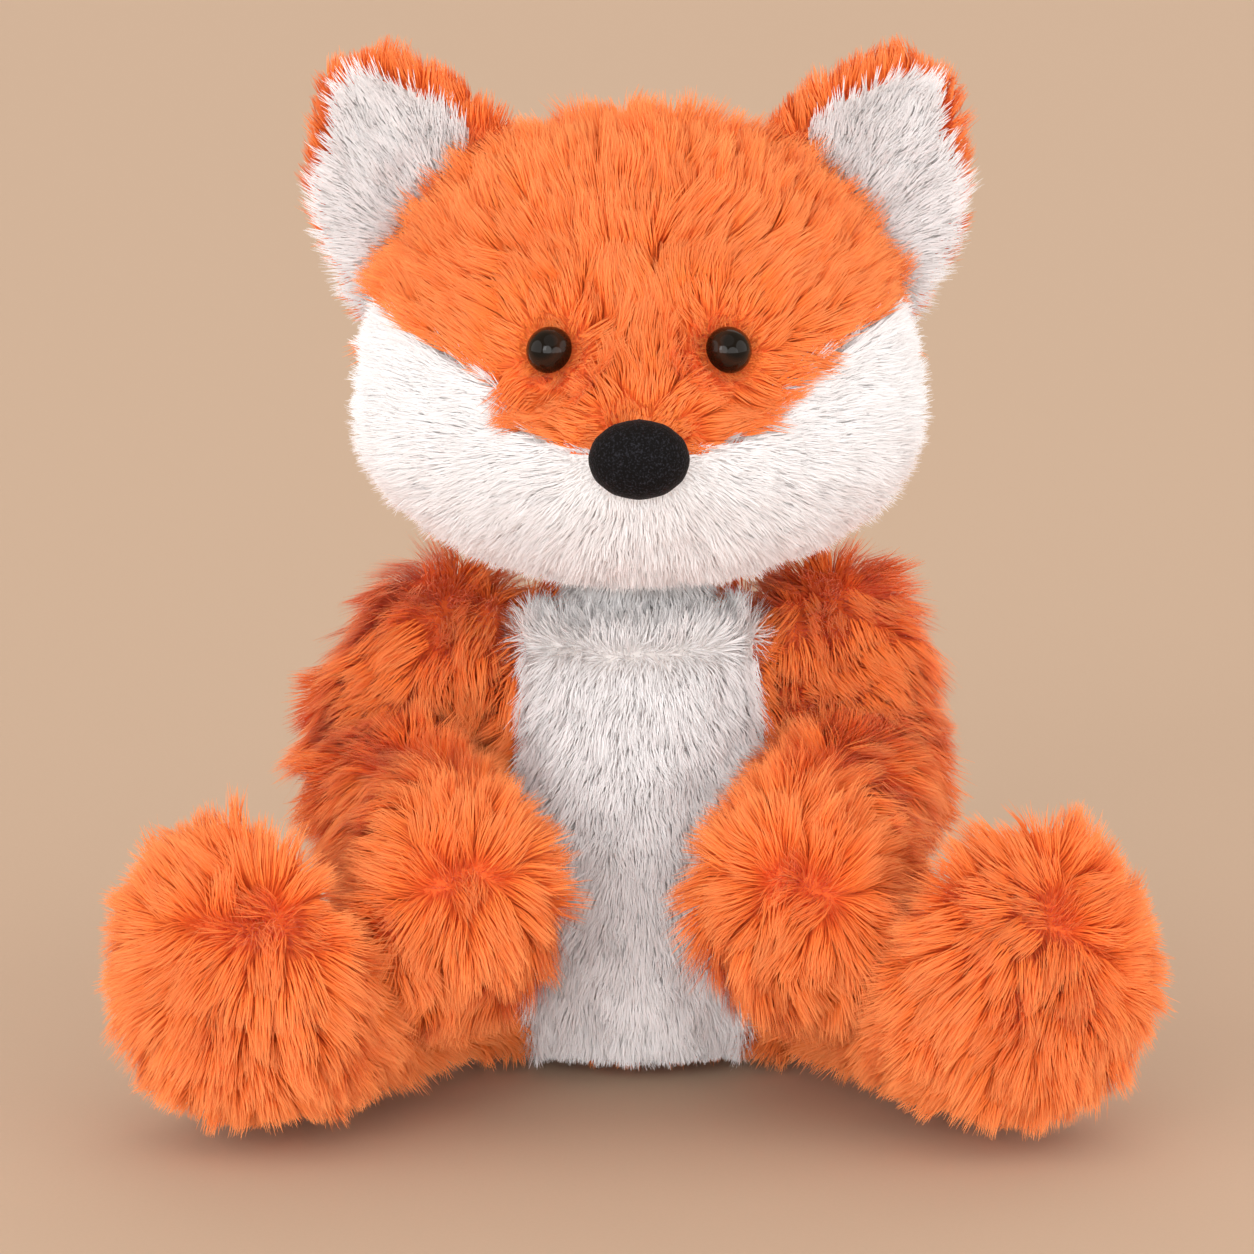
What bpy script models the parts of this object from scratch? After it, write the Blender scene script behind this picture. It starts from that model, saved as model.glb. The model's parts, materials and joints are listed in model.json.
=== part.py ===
"""A seated plush fox, modelled as the pieces it is sewn and stuffed from.

Metres, +Z up. The toy faces -Y and sits on the origin, so its left is +X.
Every soft form is made once as a closed surface that swells and tapers. Its
fabric panels are that surface given the depth of cloth and pile, divided at
the seams, and its stuffing is the same surface drawn in behind the cloth.
"""

import functools
import math

import bmesh
import bpy
from mathutils import Matrix, Vector

# Clearances
FACE_GAP = 0.0003
SWIVEL_GAP = 0.0005
CORE_GAP = 0.0010
SWEEP_GAP = 0.0009
SWEEP_STEPS = 3
LEG_SWEEP_STEPS = 2
FLOOR_CUT = 0.0005
OVERRUN = 0.3
MITRE_SHARE = 0.5
SMOOTH_DEG = 50

# Cloth with its pile
LONG_PILE = 0.0085
SHORT_PILE = 0.0060

# Head
HEAD_WIDTH = 0.149
HEAD_TALL = 0.1225
JAW_TALL = 0.0435
HEAD_FORWARD = 0.012
FACE_DEPTH = 0.058
NAPE_DEPTH = 0.055
MUZZLE_REACH = 0.014
MUZZLE_SPREAD = 0.030
CROWN_SEAM_BACK = 0.002
JAW_FULLNESS = 2.05
CROWN_FULLNESS = 2.0

# Eyes and nose
EYE_OUT = 0.0235
EYE_ABOVE_CHIN = 0.0695
EYE_RADIUS = 0.0060
EYE_DOME = 0.0055
EYE_SUNK = 0.0030
SHANK_RADIUS = 0.0020
SHANK_LENGTH = 0.0130
SHANK_RIB = 0.0003
SHANK_RIBS = 3
SHANK_TIP_SHARE = 0.6
WASHER_RADIUS = 0.0075
WASHER_THICKNESS = 0.0015
NOSE_WIDTH = 0.0270
NOSE_TALL = 0.0215
NOSE_ABOVE_CHIN = 0.0435
NOSE_DOME = 0.0100
NOSE_SUNK = 0.0030
NOSE_CLOTH = 0.0014
NOSE_FULLNESS = 0.9

# Ears
EAR_WIDTH = 0.061
EAR_LENGTH = 0.056
EAR_ROOT = 0.012
EAR_SUNK = 0.0150
EAR_BELOW_CROWN = 0.0375
EAR_BACK = 0.004
EAR_LEAN_DEG = 29
EAR_TURN_DEG = 12
EAR_CUP = 0.007
EAR_FRONT_DEPTH = 0.0075
EAR_BACK_DEPTH = 0.0085
EAR_RIM = 0.0025
EAR_BORDER = 0.0030
EAR_FLEX_DEG = 10
EAR_FULLNESS = 3

# Torso
TORSO_WIDTH = 0.092
TORSO_DEPTH = 0.090
TORSO_HEIGHT = 0.126
BELLY_WIDTH = 0.066
BELLY_SEAM_FORWARD = 0.006
SEAT_SEAM_OUT = 0.0014
POUCH_CLEARANCE = 0.0024
POUCH_BACK = 0.004
POUCH_HEIGHT = 0.024
POUCH_FLOOR = LONG_PILE + 2 * FACE_GAP

# Neck
NECK_RADIUS = 0.020
NECK_SPACE = 0.004
NECK_GAP = 0.0009
NECK_FORWARD = 0.004

# Arms
SHOULDER_PROUD = 0.0160
SHOULDER_DROP = 0.0135
SHOULDER_RADIUS = 0.0245
ELBOW_OUTWARDS = {"left": 0.0065, "right": 0.0145}
ELBOW_FORWARD = 0.018
ELBOW_DROP = 0.0305
ELBOW_RADIUS = 0.0235
PAW_INWARDS = {"left": 0.0150, "right": 0.0090}
PAW_FORWARD = 0.077
PAW_DROP = 0.0585
PAW_WIDTH = 0.058
PAW_TALL = 0.064
PAW_END = 0.020
WRIST_SHARE = 0.55
ARM_LIFT_DEG = 35

# Legs
HIP_FORWARD = 0.012
HIP_RADIUS = 0.0215
SHIN_OUT = 0.072
SHIN_FORWARD = 0.050
SHIN_RADIUS = 0.0205
FOOT_OUT = {"left": 0.0960, "right": 0.0995}
FOOT_FORWARD = 0.090
FOOT_WIDTH = 0.077
FOOT_TALL = 0.088
FOOT_END = 0.029
ANKLE_SHARE = 0.55
ANKLE_RISE_SHARE = 0.25
ANKLE_WIDTH_SHARE = 0.80
LEG_SPLAY_DEG = 20

# Tail
TAIL_ROOT_SUNK = 0.002
TAIL_ROOT_HEIGHT = 0.030
TAIL_ROOT_RADIUS = 0.013
TAIL_SWING_DEG = 25
TAIL_LENGTH = 0.072
TAIL_RISE = 0.042
TAIL_WIDTH = 0.054
TAIL_TIP_LENGTH = 0.030
TAIL_SEAM_TILT_DEG = 19

# How finely the forms are divided
HEAD_SEGMENTS = 22
HEAD_RINGS = 11
TORSO_SEGMENTS = 18
TORSO_RINGS = 9
LIMB_SEGMENTS = 10
LIMB_RINGS = 7
CAP_RINGS = 3
BALL_SEGMENTS = 12
FINE_BALL_SEGMENTS = 24
SMALL_SEGMENTS = 12
DOME_RINGS = 4
EAR_COLUMNS = 8
EAR_ROWS = 7

# Height, half width, half depth and forward lean of the torso, bottom to top
TORSO_SHARES = (
    (0.00, 0.60, 0.60, 0.00),
    (0.07, 0.87, 0.87, 0.01),
    (0.22, 1.00, 1.00, 0.03),
    (0.42, 0.98, 0.97, 0.05),
    (0.62, 0.89, 0.87, 0.05),
    (0.80, 0.84, 0.81, 0.05),
    (0.93, 0.80, 0.77, 0.05),
    (0.985, 0.66, 0.64, 0.05),
)

# Right half of the face mask's lower edge: shares of the half width and of the head's height
MASK_SHARES = (
    (0.00, 0.345),
    (0.16, 0.365),
    (0.26, 0.367),
    (0.43, 0.395),
    (0.48, 0.430),
    (0.49, 0.480),
    (0.61, 0.510),
    (0.81, 0.575),
    (1.15, 0.640),
    (1.15, 1.200),
)

# Right half of the belly panel: shares of its half width and of the torso's height
BELLY_SHARES = (
    (0.00, -0.20),
    (1.15, -0.20),
    (1.10, 0.30),
    (1.00, 0.70),
    (0.94, 1.20),
    (0.00, 1.20),
)

# Half width of an ear at shares of its length above the seam
EAR_SHARES = (
    (0.00, 0.92),
    (0.22, 1.00),
    (0.44, 0.98),
    (0.62, 0.82),
    (0.78, 0.55),
    (0.91, 0.30),
    (1.00, 0.12),
)

# Path share, rise share and half width share of the tail, from its root to the tip's centre
TAIL_SHARES = (
    (0.00, 0.00, 0.48),
    (0.28, -0.02, 0.72),
    (0.58, 0.10, 1.00),
    (0.82, 0.50, 0.98),
    (0.90, 1.00, 0.72),
)

SIDES = {"left": 1, "right": -1}

# Heights that follow from the pieces beneath
HEAD_BOTTOM = TORSO_HEIGHT + NECK_SPACE
HEAD_WIDEST = HEAD_BOTTOM + JAW_TALL
HEAD_TOP = HEAD_BOTTOM + HEAD_TALL
NECK_HEIGHT = TORSO_HEIGHT + NECK_SPACE / 2
EYE_HEIGHT = HEAD_BOTTOM + EYE_ABOVE_CHIN
NOSE_HEIGHT = HEAD_BOTTOM + NOSE_ABOVE_CHIN
EAR_HEIGHT = HEAD_TOP - EAR_BELOW_CROWN
SHOULDER_HEIGHT = TORSO_HEIGHT - SHOULDER_DROP
HIP_HEIGHT = HIP_RADIUS - FLOOR_CUT


def clear_scene():
    for obj in list(bpy.data.objects):
        bpy.data.objects.remove(obj)


def material(name, colour, roughness, metallic=0.0):
    made = bpy.data.materials.new(name)
    made.use_nodes = True
    shader = made.node_tree.nodes["Principled BSDF"]
    shader.inputs["Base Color"].default_value = (*colour, 1.0)
    shader.inputs["Roughness"].default_value = roughness
    shader.inputs["Metallic"].default_value = metallic
    made.diffuse_color = (*colour, 1.0)
    return made


def orange_plush(name):
    return material(name, (0.80, 0.16, 0.03), 0.95)


def white_plush(name):
    return material(name, (0.86, 0.80, 0.78), 0.95)


def loose_stuffing(name):
    return material(name, (0.85, 0.85, 0.82), 1.0)


def pivot(name, place, parent=None):
    made = bpy.data.objects.new(name, None)
    made.empty_display_size = NECK_RADIUS
    bpy.context.scene.collection.objects.link(made)
    made.location = place
    if parent:
        made.parent = parent
        made.matrix_parent_inverse = Matrix.Translation(parent.matrix_world.translation).inverted()
    bpy.context.view_layer.update()
    return made


def put(name, form, finish=None, on=None, place=None):
    """Makes an object of a bmesh. A helper has no finish, and is left out of the part."""
    mesh = bpy.data.meshes.new(name)
    form.to_mesh(mesh)
    form.free()
    made = bpy.data.objects.new(name, mesh)
    bpy.context.scene.collection.objects.link(made)
    if finish:
        mesh.materials.append(finish)
        mesh.shade_smooth()
        mesh.set_sharp_from_angle(angle=math.radians(SMOOTH_DEG))
    else:
        made.hide_render = True
        made.display_type = "WIRE"
    if place:
        made.matrix_world = place
    if on:
        made.parent = on
        made.matrix_parent_inverse = on.matrix_world.inverted()
    return made


def shape_with(target, helper, operation="DIFFERENCE"):
    step = target.modifiers.new(helper.name, "BOOLEAN")
    step.operation = operation
    step.object = helper
    step.solver = "EXACT"


def between(controls, share):
    """A smooth value through evenly numbered controls, each a tuple of numbers."""
    place = share * (len(controls) - 1)
    index = min(int(place), len(controls) - 2)
    part = place - index
    before = controls[max(index - 1, 0)]
    start, end = controls[index], controls[index + 1]
    after = controls[min(index + 2, len(controls) - 1)]
    found = []
    for a, b, c, d in zip(before, start, end, after):
        bend = 2 * a - 5 * b + 4 * c - d
        twist = 3 * b - a - 3 * c + d
        found.append(b + part * (c - a + part * (bend + part * twist)) / 2)
    return found


def lofted(rings, start=None, end=None):
    """A closed surface over rings of points, each end drawn to a point or, without one, joined round."""
    form = bmesh.new()
    rows = [[form.verts.new(point) for point in ring] for ring in rings]
    joined = list(zip(rows, rows[1:]))
    if start is None:
        joined.append((rows[-1], rows[0]))
    for low, high in joined:
        for index, vert in enumerate(low):
            after = (index + 1) % len(low)
            form.faces.new((vert, low[after], high[after], high[index]))
    if start is not None:
        for tip, row in ((start, rows[0]), (end, rows[-1])):
            vert = form.verts.new(tip)
            for index, near in enumerate(row):
                form.faces.new((near, row[(index + 1) % len(row)], vert))
    bmesh.ops.recalc_face_normals(form, faces=form.faces)
    return form


def ring(centre, across, along, segments):
    turns = [math.tau * index / segments for index in range(segments)]
    return [centre + across * math.cos(turn) + along * math.sin(turn) for turn in turns]


def drawn_in(form, distance):
    """Moves each point along its normal, inwards when the distance is positive."""
    form.normal_update()
    moves = [(vert, vert.normal * distance) for vert in form.verts]
    for vert, move in moves:
        vert.co -= move
    return form


def cut_at_floor(form):
    everything = form.verts[:] + form.edges[:] + form.faces[:]
    bmesh.ops.bisect_plane(
        form, geom=everything, plane_co=Vector(), plane_no=Vector((0, 0, 1)), clear_inner=True
    )
    rim = [edge for edge in form.edges if edge.is_boundary]
    bmesh.ops.holes_fill(form, edges=rim, sides=0)
    bmesh.ops.recalc_face_normals(form, faces=form.faces)
    return form


def cloth(form, depth):
    """The outer surface of a form with the same surface, drawn in by the cloth's depth, inside it."""
    outer = cut_at_floor(form(0))
    inner = form(depth)
    bmesh.ops.reverse_faces(inner, faces=inner.faces)
    mesh = bpy.data.meshes.new("inner")
    inner.to_mesh(mesh)
    inner.free()
    outer.from_mesh(mesh)
    bpy.data.meshes.remove(mesh)
    return outer


def slab(name, point, direction):
    """A helper that fills the space beyond a plane."""
    form = bmesh.new()
    bmesh.ops.create_cube(form, size=2 * OVERRUN)
    turn = direction.to_track_quat("Z", "Y").to_matrix().to_4x4()
    lift = Matrix.Translation(point + direction.normalized() * OVERRUN)
    form.transform(lift @ turn)
    return put(name, form)


def seam_pair(name, point, direction):
    """Two helpers either side of a seam: what each leaves is one panel."""
    unit = direction.normalized()
    half = unit * FACE_GAP / 2
    return slab(name + "_beyond", point - half, unit), slab(name + "_before", point + half, -unit)


def grown_outline(points, distance):
    """The outline of a polygon, run anticlockwise, moved out by a distance."""
    moved = []
    count = len(points)
    for index, point in enumerate(points):
        before = (point - points[index - 1]).normalized()
        after = (points[(index + 1) % count] - point).normalized()
        out = Vector((before.y + after.y, -before.x - after.x)).normalized()
        slant = max(out.dot(Vector((after.y, -after.x))), MITRE_SHARE)
        moved.append(point + out * distance / slant)
    return moved


def front_prism(name, outline, back, grow):
    """A helper with an outline in X and Z, running from far in front back to a depth."""
    form = bmesh.new()
    points = grown_outline(outline, grow)
    near = [form.verts.new((p.x, -OVERRUN, p.y)) for p in points]
    far = [form.verts.new((p.x, back + grow, p.y)) for p in points]
    form.faces.new(near)
    form.faces.new(far[::-1])
    for index, vert in enumerate(near):
        after = (index + 1) % len(near)
        form.faces.new((vert, far[index], far[after], near[after]))
    bmesh.ops.recalc_face_normals(form, faces=form.faces)
    return put(name, form)


def mirrored_outline(half):
    """Closes a right half, given from the middle outwards, with its mirror image."""
    other = [Vector((-p.x, p.y)) for p in reversed(half) if p.x]
    return half + other


def ball(centre, radius, segments):
    form = bmesh.new()
    rings = segments // 2
    bmesh.ops.create_uvsphere(form, u_segments=segments, v_segments=rings, radius=radius)
    form.transform(Matrix.Translation(centre))
    return form


def clear_ball(centre, radius, segments):
    """A ball whose flat facets all lie outside the radius."""
    facet_share = math.cos(math.pi / segments) ** 2
    return ball(centre, radius / facet_share, segments)


def head_ring(height):
    """Half width, face depth and nape depth of the head at a height."""
    if height < HEAD_WIDEST:
        share = (HEAD_WIDEST - height) / (HEAD_WIDEST - HEAD_BOTTOM)
        fullness = JAW_FULLNESS
    else:
        share = (height - HEAD_WIDEST) / (HEAD_TOP - HEAD_WIDEST)
        fullness = CROWN_FULLNESS
    round_share = max(1 - share**fullness, 0) ** (1 / fullness)
    return (
        HEAD_WIDTH / 2 * round_share,
        FACE_DEPTH * round_share,
        NAPE_DEPTH * round_share,
    )


def muzzle(x, height):
    spread = (x / MUZZLE_SPREAD) ** 2 + ((height - NOSE_HEIGHT) / MUZZLE_SPREAD) ** 2
    return MUZZLE_REACH * math.exp(-spread)


def face_point(x, height):
    """The point of the face at a distance from the middle and a height."""
    half, front, _ = head_ring(height)
    depth = front * math.sqrt(1 - (x / half) ** 2)
    return Vector((x, -HEAD_FORWARD - depth - muzzle(x, height), height))


def face_frame(x, height, sunk):
    """A place on the face, drawn in by some depth, whose Z points out of the face."""
    step = FACE_GAP
    side = face_point(x + step, height) - face_point(x - step, height)
    rise = face_point(x, height + step) - face_point(x, height - step)
    out = side.cross(rise).normalized()
    turn = out.to_track_quat("Z", "Y").to_matrix().to_4x4()
    return Matrix.Translation(face_point(x, height) - out * sunk) @ turn


def head_form(drawn):
    rows = []
    for index in range(1, HEAD_RINGS + 1):
        turn = math.pi * index / (HEAD_RINGS + 1)
        middle, reach = HEAD_WIDEST, HEAD_TOP - HEAD_WIDEST
        if turn < math.pi / 2:
            reach = HEAD_WIDEST - HEAD_BOTTOM
        height = middle - reach * math.cos(turn)
        half, front, back = head_ring(height)
        row = []
        for step in range(HEAD_SEGMENTS):
            around = math.tau * step / HEAD_SEGMENTS
            x = half * math.cos(around)
            y = math.sin(around) * (back if math.sin(around) > 0 else front)
            if y < 0:
                y += muzzle(x, height) * math.sin(around)
            row.append(Vector((x, y - HEAD_FORWARD, height)))
        rows.append(row)
    low = Vector((0, -HEAD_FORWARD, HEAD_BOTTOM))
    high = Vector((0, -HEAD_FORWARD, HEAD_TOP))
    return drawn_in(lofted(rows, low, high), drawn)


def torso_form(drawn):
    rows = []
    for index in range(TORSO_RINGS):
        height, wide, deep, lean = between(TORSO_SHARES, index / (TORSO_RINGS - 1))
        centre = Vector((0, -lean * TORSO_DEPTH, height * TORSO_HEIGHT - FLOOR_CUT))
        across = Vector((wide * TORSO_WIDTH / 2, 0, 0))
        along = Vector((0, deep * TORSO_DEPTH / 2, 0))
        rows.append(ring(centre, across, along, TORSO_SEGMENTS))
    low = Vector((0, 0, -FLOOR_CUT))
    high = Vector((0, -TORSO_SHARES[-1][3] * TORSO_DEPTH, TORSO_HEIGHT - FLOOR_CUT))
    return drawn_in(lofted(rows, low, high), drawn)


def torso_at(height):
    """Half width, half depth and forward lean of the torso at a height."""
    share = height / TORSO_HEIGHT
    index = sum(row[0] < share for row in TORSO_SHARES[1:-1])
    low, high = TORSO_SHARES[index], TORSO_SHARES[index + 1]
    part = (share - low[0]) / (high[0] - low[0])
    _, wide, deep, lean = (a + (b - a) * part for a, b in zip(low, high))
    return wide * TORSO_WIDTH / 2, deep * TORSO_DEPTH / 2, lean * TORSO_DEPTH


def limb_form(controls, reference, end_length, drawn, level=False):
    """A limb from a ball-shaped root to a round end. A control is a place, half width, half height.

    The cross-sections are carried along without twist, and stay upright where the limb is level.
    """
    rows = []
    flat = [(*place, wide - drawn, tall - drawn) for place, wide, tall in controls]
    last = LIMB_RINGS - 1
    places = [between(flat, index / last) for index in range(LIMB_RINGS)]
    centres = [Vector(found[:3]) for found in places]
    across = reference
    for index in reversed(range(LIMB_RINGS)):
        ahead = centres[min(index + 1, last)] - centres[max(index - 1, 0)]
        if level:
            ahead.z = 0
        ahead.normalize()
        across = (across - ahead * across.dot(ahead)).normalized()
        along = ahead.cross(across)
        wide, tall = places[index][3:]
        rows.insert(0, (centres[index], across * tall, along * wide, ahead))

    def cap(row, reach, sign):
        centre, across, along, ahead = row
        made = []
        for step in range(1, CAP_RINGS):
            turn = math.pi / 2 * step / CAP_RINGS
            moved = centre + ahead * sign * reach * math.sin(turn)
            narrow = math.cos(turn)
            made.append(ring(moved, across * narrow, along * narrow, LIMB_SEGMENTS))
        return made, centre + ahead * sign * reach

    root, start = cap(rows[0], controls[0][1] - drawn, -1)
    tip, end = cap(rows[-1], end_length - drawn, 1)
    middle = [ring(centre, across, along, LIMB_SEGMENTS) for centre, across, along, _ in rows]
    return lofted(root[::-1] + middle + tip, start, end)


def shoulder(side):
    half, _, _ = torso_at(SHOULDER_HEIGHT)
    return Vector((SIDES[side] * (half + SHOULDER_PROUD), 0, SHOULDER_HEIGHT))


def elbow(side):
    outwards = SIDES[side] * ELBOW_OUTWARDS[side]
    return shoulder(side) + Vector((outwards, -ELBOW_FORWARD, -ELBOW_DROP))


def paw(side):
    inwards = SIDES[side] * PAW_INWARDS[side]
    return shoulder(side) + Vector((-inwards, -PAW_FORWARD, -PAW_DROP))


def arm_form(side, drawn):
    wrist = elbow(side).lerp(paw(side), WRIST_SHARE)
    controls = (
        (shoulder(side), SHOULDER_RADIUS, SHOULDER_RADIUS),
        (elbow(side), ELBOW_RADIUS, ELBOW_RADIUS),
        (wrist, ELBOW_RADIUS, PAW_TALL / 2),
        (paw(side), PAW_WIDTH / 2, PAW_TALL / 2),
    )
    return limb_form(controls, Vector((0, 0, 1)), PAW_END, drawn)


def hip(side):
    half, _, _ = torso_at(HIP_HEIGHT)
    return Vector((SIDES[side] * half, -HIP_FORWARD, HIP_HEIGHT))


def foot(side):
    return Vector((SIDES[side] * FOOT_OUT[side], -FOOT_FORWARD, FOOT_TALL / 2 - FLOOR_CUT))


def leg_form(side, drawn):
    shin = Vector((SIDES[side] * SHIN_OUT, -SHIN_FORWARD, HIP_HEIGHT))
    ankle = shin.lerp(foot(side), ANKLE_SHARE)
    ankle.z = shin.z + ANKLE_RISE_SHARE * (foot(side).z - shin.z)
    controls = (
        (hip(side), HIP_RADIUS, HIP_RADIUS),
        (shin, SHIN_RADIUS, HIP_RADIUS),
        (ankle, ANKLE_WIDTH_SHARE * FOOT_WIDTH / 2, ankle.z + FLOOR_CUT),
        (foot(side), FOOT_WIDTH / 2, FOOT_TALL / 2),
    )
    return limb_form(controls, Vector((0, 0, 1)), FOOT_END, drawn, level=True)


def tail_root():
    _, half, lean = torso_at(TAIL_ROOT_HEIGHT)
    return Vector((0, half - lean - TAIL_ROOT_SUNK, TAIL_ROOT_HEIGHT))


def tail_form(drawn):
    controls = []
    for path, rise, wide in TAIL_SHARES:
        place = tail_root() + Vector((0, path * TAIL_LENGTH, rise * TAIL_RISE))
        half = wide * TAIL_WIDTH / 2
        controls.append((place, half, half))
    controls[0] = (tail_root(), TAIL_ROOT_RADIUS, TAIL_ROOT_RADIUS)
    return limb_form(controls, Vector((1, 0, 0)), TAIL_WIDTH / 2, drawn)


def make_pivots():
    head = pivot("neck_pivot", (0, -NECK_FORWARD, NECK_HEIGHT))
    pivots = {"head": head, "tail": pivot("tail_pivot", tail_root())}
    for side in SIDES:
        pivots["arm_" + side] = pivot("shoulder_pivot_" + side, shoulder(side))
        pivots["leg_" + side] = pivot("hip_pivot_" + side, hip(side))
        pivots["ear_" + side] = pivot("ear_pivot_" + side, ear_frame(side).translation, head)
    return pivots


def roots():
    """Place, radius and segments of each ball-shaped root in the torso."""
    found = {"tail": (tail_root(), TAIL_ROOT_RADIUS, FINE_BALL_SEGMENTS)}
    for side in SIDES:
        found["arm_" + side] = (shoulder(side), SHOULDER_RADIUS, BALL_SEGMENTS)
        found["leg_" + side] = (hip(side), HIP_RADIUS, BALL_SEGMENTS)
    return found


def pockets():
    """Round helpers that leave room for each root in what it turns against."""
    room = ball(neck(), NECK_RADIUS + NECK_GAP, BALL_SEGMENTS)
    made = {"neck": put("neck_pocket", room)}
    for name, (place, radius, segments) in roots().items():
        made[name] = put(name + "_pocket", clear_ball(place, radius + SWIVEL_GAP, segments))
    return made


def neck():
    return Vector((0, -NECK_FORWARD, NECK_HEIGHT))


def make_neck(pivots):
    form = ball(neck(), NECK_RADIUS, BALL_SEGMENTS)
    put("neck_stuffing", form, loose_stuffing("neck_fibre"), pivots["head"])


def make_torso(room):
    """Belly, back and seat panels, the stuffing behind them and the bean pouch in the seat."""
    half = BELLY_WIDTH / 2
    outline = [Vector((wide * half, tall * TORSO_HEIGHT)) for wide, tall in BELLY_SHARES]
    outline = mirrored_outline(outline)
    gap = FACE_GAP / 2
    front = front_prism("belly_region", outline, -BELLY_SEAM_FORWARD, -gap)
    behind = front_prism("belly_keep_out", outline, -BELLY_SEAM_FORWARD, gap)
    base = put("seat_region", seat_form(-gap))
    clear = put("seat_keep_out", seat_form(gap))

    belly = put("belly_panel", cloth(torso_form, SHORT_PILE), white_plush("belly_plush"))
    shape_with(belly, front, "INTERSECT")
    back = put("torso_back_panel", cloth(torso_form, LONG_PILE), orange_plush("back_plush"))
    shape_with(back, behind)
    seat = put("seat_panel", cloth(torso_form, LONG_PILE), orange_plush("seat_plush"))
    shape_with(seat, base, "INTERSECT")
    for panel in (belly, back):
        shape_with(panel, clear)

    core = torso_form(LONG_PILE + CORE_GAP)
    stuffing = put("torso_stuffing", core, loose_stuffing("torso_fibre"))
    cut_all((belly, back, seat, stuffing), room.values())
    return stuffing


def seat_form(grow):
    """What lies within the seat's seam, which runs just outside the torso's flat base."""
    _, wide, deep, _ = TORSO_SHARES[0]
    across = Vector((wide * TORSO_WIDTH / 2 + SEAT_SEAM_OUT + grow, 0, 0))
    along = Vector((0, deep * TORSO_DEPTH / 2 + SEAT_SEAM_OUT + grow, 0))
    low, high = Vector((0, 0, -SHORT_PILE)), Vector((0, 0, 2 * LONG_PILE))
    rings = [ring(centre, across, along, TORSO_SEGMENTS) for centre in (low, high)]
    return lofted(rings, low, high)


def pouch_form(grow):
    """A drum-shaped bag with bulging sides. Grown, it is the room for it, open to the ground.

    It is as wide as fits between the legs' roots and within the seat.
    """
    seat = TORSO_SHARES[0][2] * TORSO_DEPTH / 2 - POUCH_BACK
    wide = min(hip("left").x - HIP_RADIUS, seat) - POUCH_CLEARANCE
    rows = []
    for step in range(DOME_RINGS):
        turn = math.pi / 2 * step / DOME_RINGS
        radius = wide * math.sqrt(math.cos(turn)) + grow
        centre = Vector((0, POUCH_BACK, POUCH_FLOOR + POUCH_HEIGHT * math.sin(turn) + grow))
        rows.append(ring(centre, Vector((radius, 0, 0)), Vector((0, radius, 0)), SMALL_SEGMENTS))
    low = Vector((0, POUCH_BACK, POUCH_FLOOR))
    if grow:
        low.z = 0
        radius = wide + grow
        base = ring(low, Vector((radius, 0, 0)), Vector((0, radius, 0)), SMALL_SEGMENTS)
        rows.insert(0, base)
    return lofted(rows, low, Vector((0, POUCH_BACK, POUCH_FLOOR + POUCH_HEIGHT + grow)))


def make_pouch(stuffing):
    """The bag of beans low in the seat, in a hollow of the stuffing that is open beneath."""
    put("bean_pouch", pouch_form(0), material("calico", (0.72, 0.66, 0.55), 0.9))
    shape_with(stuffing, put("pouch_room", pouch_form(FACE_GAP)))


def make_head(room, pivots):
    """Gusset with the mask, cheeks with the chin, back of the head, and the stuffing."""
    on = pivots["head"]
    half = [Vector((x * HEAD_WIDTH / 2, HEAD_BOTTOM + z * HEAD_TALL)) for x, z in MASK_SHARES]
    outline = mirrored_outline(half)
    gap = FACE_GAP / 2
    mask = front_prism("mask_region", outline, CROWN_SEAM_BACK, -gap)
    keep_out = front_prism("mask_keep_out", outline, CROWN_SEAM_BACK, gap)
    seam = Vector((0, CROWN_SEAM_BACK, 0))
    beyond, before = seam_pair("crown_seam", seam, Vector((0, 1, 0)))

    gusset = put(
        "face_gusset_panel", cloth(head_form, LONG_PILE), orange_plush("mask_plush"), on
    )
    shape_with(gusset, mask, "INTERSECT")
    cheeks = put("cheek_panel", cloth(head_form, SHORT_PILE), white_plush("cheek_plush"), on)
    shape_with(cheeks, beyond)
    shape_with(cheeks, keep_out)
    nape = put("head_back_panel", cloth(head_form, LONG_PILE), orange_plush("nape_plush"), on)
    shape_with(nape, before)
    core = head_form(LONG_PILE + CORE_GAP)
    stuffing = put("head_stuffing", core, loose_stuffing("head_fibre"), on)
    for piece in (gusset, cheeks, nape, stuffing):
        shape_with(piece, room["neck"])
    return {"gusset": gusset, "cheeks": cheeks, "stuffing": stuffing}


def turned(profile, closed=False, top=None):
    """A surface turned about Z from pairs of radius and height, up to a pointed top if asked."""
    rows = []
    for radius, height in profile:
        centre = Vector((0, 0, height))
        rows.append(ring(centre, Vector((radius, 0, 0)), Vector((0, radius, 0)), SMALL_SEGMENTS))
    if closed:
        return lofted(rows)
    low, high = profile[0][1], profile[-1][1] if top is None else top
    return lofted(rows, Vector((0, 0, low)), Vector((0, 0, high)))


def eye_profile():
    """From the shank's end up to the dome's top."""
    profile = [(SHANK_RADIUS * SHANK_TIP_SHARE, -SHANK_LENGTH)]
    pitch = (SHANK_LENGTH - LONG_PILE) / SHANK_RIBS
    for step in range(SHANK_RIBS):
        rib = -SHANK_LENGTH + pitch * (step + 1)
        profile += [(SHANK_RADIUS, rib - pitch / 2), (SHANK_RADIUS + SHANK_RIB, rib)]
    profile += [(SHANK_RADIUS, 0), (EYE_RADIUS, 0)]
    for step in range(1, DOME_RINGS):
        turn = math.pi / 2 * step / DOME_RINGS
        profile.append((EYE_RADIUS * math.cos(turn), EYE_DOME * math.sin(turn)))
    return profile


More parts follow.
